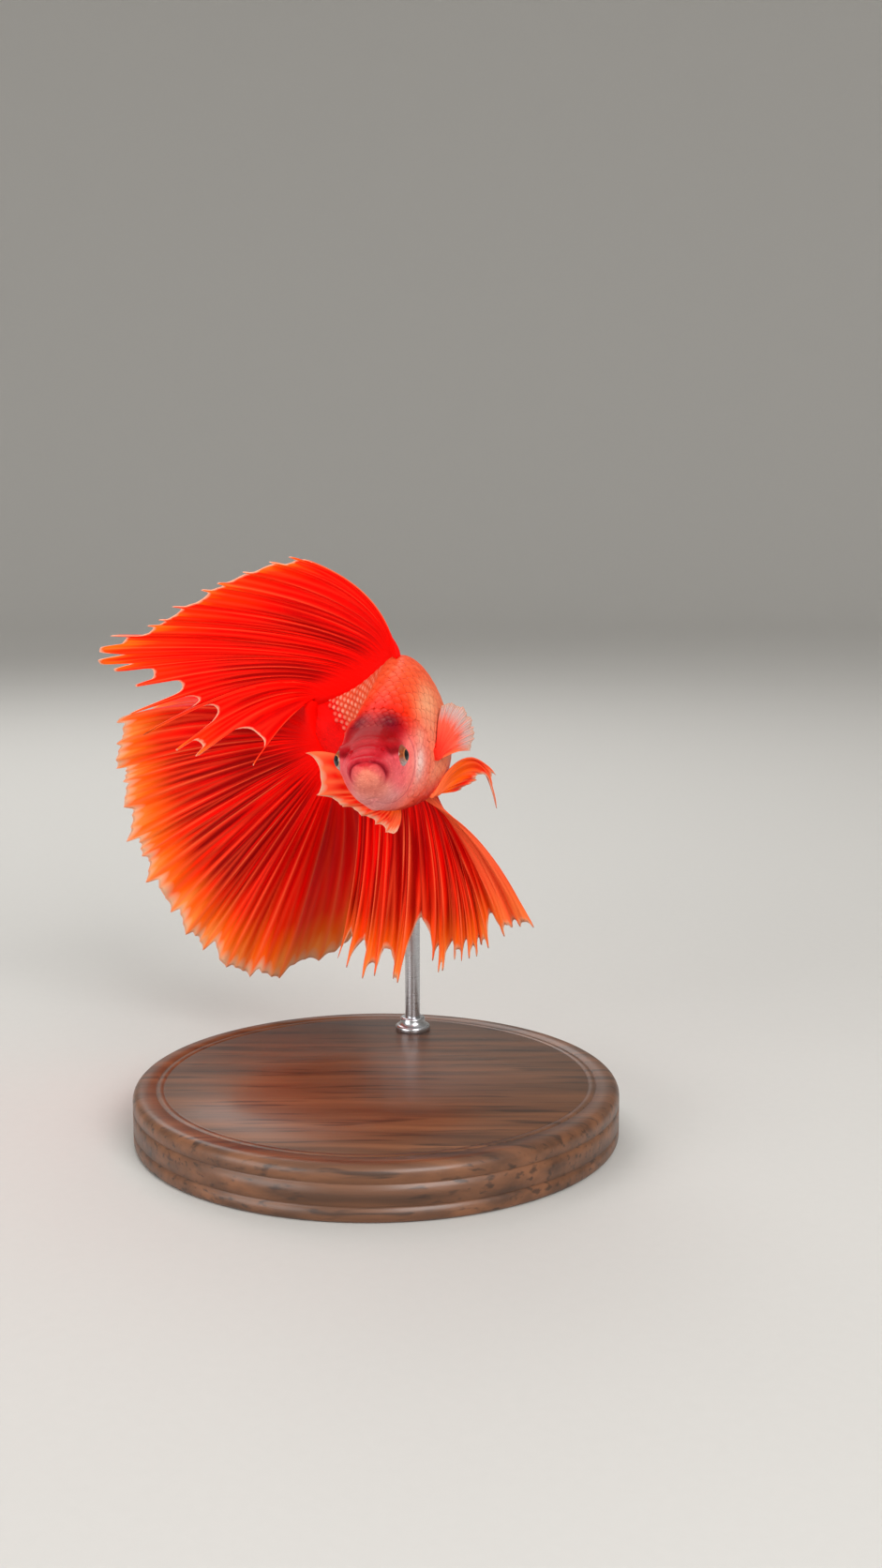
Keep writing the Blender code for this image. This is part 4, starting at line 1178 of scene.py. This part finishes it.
def stage_lights(settings):
    """Three soft lights round the model, each with its share of the set power, and pale air."""
    middle = (0.0, 0.0, 0.045)
    for name, at, share, size in (
        ("key", (0.2, -0.42, 0.3), 0.56, 0.26), ("fill", (-0.42, -0.36, 0.12), 0.55, 0.4),
        ("back", (-0.12, 0.3, 0.34), 0.2, 0.3),
    ):
        area_light(name, at, middle, share * settings.key_power, size)
    world = bpy.data.worlds.new("studio_air")
    world.use_nodes = True
    air = world.node_tree.nodes["Background"].inputs
    air["Color"].default_value, air["Strength"].default_value = (1.0, 0.99, 0.97, 1.0), 0.65
    bpy.context.scene.world = world
    bpy.context.scene.view_settings.view_transform = "Standard"


def stage_camera():
    """Camera in front of the head, looking level with it and a little down."""
    lens = bpy.data.cameras.new("camera")
    lens.lens, lens.sensor_width = LENS, SENSOR
    lens.clip_start = 0.01
    camera = bpy.data.objects.new("camera", lens)
    drop = math.radians(CAMERA_DROP)
    forward = np.array((0.0, math.cos(drop), -math.sin(drop)))
    upward = np.array((0.0, math.sin(drop), math.cos(drop)))
    sight = forward + np.array((1.0, 0.0, 0.0)) * SIGHT_ASIDE + upward * SIGHT_HIGH
    point, _, _, up = spine(4.2)
    target = point + up * 0.3 + SNOUT
    camera.location = (target - sight * HEAD_DISTANCE / sight[1]) * MM
    camera.rotation_euler = Euler((math.radians(90.0 - CAMERA_DROP), 0.0, 0.0))
    bpy.context.scene.collection.objects.link(camera)
    bpy.context.scene.camera = camera


# ---- operators
class BETTA_OT_skin(Operator):
    """Lay one skin over the head, trunk and tail"""
    bl_idname = "betta.skin"
    bl_label = "Skin"

    def execute(self, context):
        piece = skin_piece(context.scene.betta_skin)
        hand_over(piece, "fish_skin", "head", "lower_jaw", "gill_cover_left",
                  "gill_cover_right", "trunk", "tail")
        return {"FINISHED"}


class BETTA_OT_scales(Operator):
    """Lay the coat of scales over the skin of the body and the back of the head"""
    bl_idname = "betta.scales"
    bl_label = "Scales"

    def execute(self, context):
        settings = context.scene.betta_skin
        finish = skin_finish("scale_skin", True)
        lift, depth = settings.scale_lift / MM, settings.skin_depth / MM

        def behind_cover(s, angle):
            """Scales behind the gill cover, up to the red tail root."""
            return (behind(COVER_EDGE, s, angle) > 0.75) & (slanted(s, angle) < LAST_SCALE)

        def on_cover(s, angle):
            """Scales on the gill cover, clear of its edges and the throat."""
            on_plate = (behind(CHEEK_GROOVE, s, angle) > 0.8) & (np.abs(angle) < 138.0)
            return on_plate & (behind(COVER_EDGE, s, angle) < -0.3)

        body_coat = scale_coat("body_scales", BODY_SCALES, behind_cover, lift, depth, finish)
        head_coat = scale_coat("head_scales", HEAD_SCALES, on_cover, 0.6 * lift, 0.06, finish)
        hand_over(body_coat, "fish_skin")
        hand_over(head_coat, "fish_skin")
        return {"FINISHED"}


class BETTA_OT_eyes(Operator):
    """Set the two eyes in their orbits"""
    bl_idname = "betta.eyes"
    bl_label = "Eyes"

    def execute(self, context):
        finish = eye_finish(context.scene.betta_skin)
        for side, word in SIDES.items():
            hand_over(eye_piece("eyeball_" + word, side, finish), "eye", "eye_" + word)
        return {"FINISHED"}


class BETTA_OT_median_fins(Operator):
    """Spread the dorsal, tail and anal fins"""
    bl_idname = "betta.median_fins"
    bl_label = "Dorsal, tail and anal fins"

    def execute(self, context):
        fins = context.scene.betta_fins
        red, orange, warm = fins.red, fins.orange, linear((255, 40, 2))
        dusky, peach = 0.82 * np.array(red), linear((255, 142, 62))
        # name, plan, colours by their place from root to margin, and the finish's shares
        for name, plan, bands, *shares in (
            ("dorsal", dorsal_plan(), (
                (0.0, red), (0.76, red), (0.92, warm), (1.06, orange)), 0.14, 0.85, 0.4, 0.25),
            ("caudal", caudal_plan(), (
                (0.0, red), (0.4, dusky), (0.58, red), (0.74, warm), (0.88, orange),
                (1.04, peach)), 0.32, 1.1, 2.2, 0.4),
            ("anal", anal_plan(), (
                (0.0, red), (0.46, red), (0.66, warm), (0.82, orange),
                (1.0, peach)), 0.4, 0.95, 1.0, 0.85),
        ):
            finish = fin_finish(name + "_web", fins, bands, *shares)
            hand_over(fin_piece(name + "_fin_web", fins, finish, **plan), "red_fin", name + "_fin")
        return {"FINISHED"}


class BETTA_OT_paired_fins(Operator):
    """Spread the pectoral and pelvic fins"""
    bl_idname = "betta.paired_fins"
    bl_label = "Pectoral and pelvic fins"

    def execute(self, context):
        fins = context.scene.betta_fins
        rose, blush, pale = map(linear, ((246, 50, 34), (252, 96, 74), (214, 190, 184)))
        bands = ((0.0, rose), (0.5, blush), (0.84, pale))
        clear = fin_finish("pectoral_web", fins, bands, 0.5, 0.0, clear=0.6)
        bands = ((0.0, fins.salmon), (0.3, fins.orange), (0.7, fins.red), (1.0, fins.salmon))
        soft = fin_finish("pelvic_web", fins, bands, 0.9, 0.4)
        for kind, plan, finish, slot in (
            ("pectoral_fin_", pectoral_plan, clear, "clear_fin"),
            ("pelvic_fin_", pelvic_plan, soft, "red_fin"),
        ):
            for side, word in SIDES.items():
                piece = fin_piece(kind + word + "_web", fins, finish, **plan(side))
                hand_over(piece, slot, kind + word)
        return {"FINISHED"}


class BETTA_OT_stand(Operator):
    """Turn the base and bend the rod that carries the fish"""
    bl_idname = "betta.stand"
    bl_label = "Display stand"

    def execute(self, context):
        wood, steel = wood_finish(context.scene.betta_stage), steel_finish()
        hand_over(turned("turned_base", base_profile(), 160, wood), "base_wood", "stand_base")
        hand_over(turned("ferrule", ferrule_profile(), 40, steel, ROD_FOOT), "rod_steel")
        hand_over(rod_piece(steel), "rod_steel", "stand_rod")
        return {"FINISHED"}


class BETTA_OT_stage(Operator):
    """Lay the studio floor and place the lights and the camera"""
    bl_idname = "betta.stage"
    bl_label = "Studio"

    def execute(self, context):
        settings = context.scene.betta_stage
        studio_sheet(settings)
        stage_lights(settings)
        stage_camera()
        return {"FINISHED"}


class BETTA_PT_panel(Panel):
    """Lists the steps that build the betta"""
    bl_idname = "BETTA_PT_panel"
    bl_label = "Halfmoon betta"
    bl_space_type = "VIEW_3D"
    bl_region_type = "UI"
    bl_category = "Betta"

    def draw(self, context):
        for step in STEPS:
            self.layout.operator(step.bl_idname)
        for group in ("betta_skin", "betta_fins", "betta_stage"):
            settings = getattr(context.scene, group)
            box = self.layout.box()
            for key in settings.bl_rna.properties.keys():
                if key not in ("rna_type", "name"):
                    box.prop(settings, key)


STEPS = (
    BETTA_OT_skin, BETTA_OT_scales, BETTA_OT_eyes, BETTA_OT_median_fins, BETTA_OT_paired_fins,
    BETTA_OT_stand, BETTA_OT_stage,
)
CLASSES = (BettaSkinSettings, BettaFinSettings, BettaStageSettings, *STEPS, BETTA_PT_panel)


def register():
    for item in CLASSES:
        bpy.utils.register_class(item)
    bpy.types.Scene.betta_skin = PointerProperty(type=BettaSkinSettings)
    bpy.types.Scene.betta_fins = PointerProperty(type=BettaFinSettings)
    bpy.types.Scene.betta_stage = PointerProperty(type=BettaStageSettings)


def unregister():
    del bpy.types.Scene.betta_stage, bpy.types.Scene.betta_fins, bpy.types.Scene.betta_skin
    for item in reversed(CLASSES):
        bpy.utils.unregister_class(item)


def main():
    """Build every piece in turn."""
    register()
    bpy.ops.betta.skin()
    bpy.ops.betta.scales()
    bpy.ops.betta.eyes()
    bpy.ops.betta.median_fins()
    bpy.ops.betta.paired_fins()
    bpy.ops.betta.stand()
    bpy.ops.betta.stage()


if __name__ == "__main__":
    main()
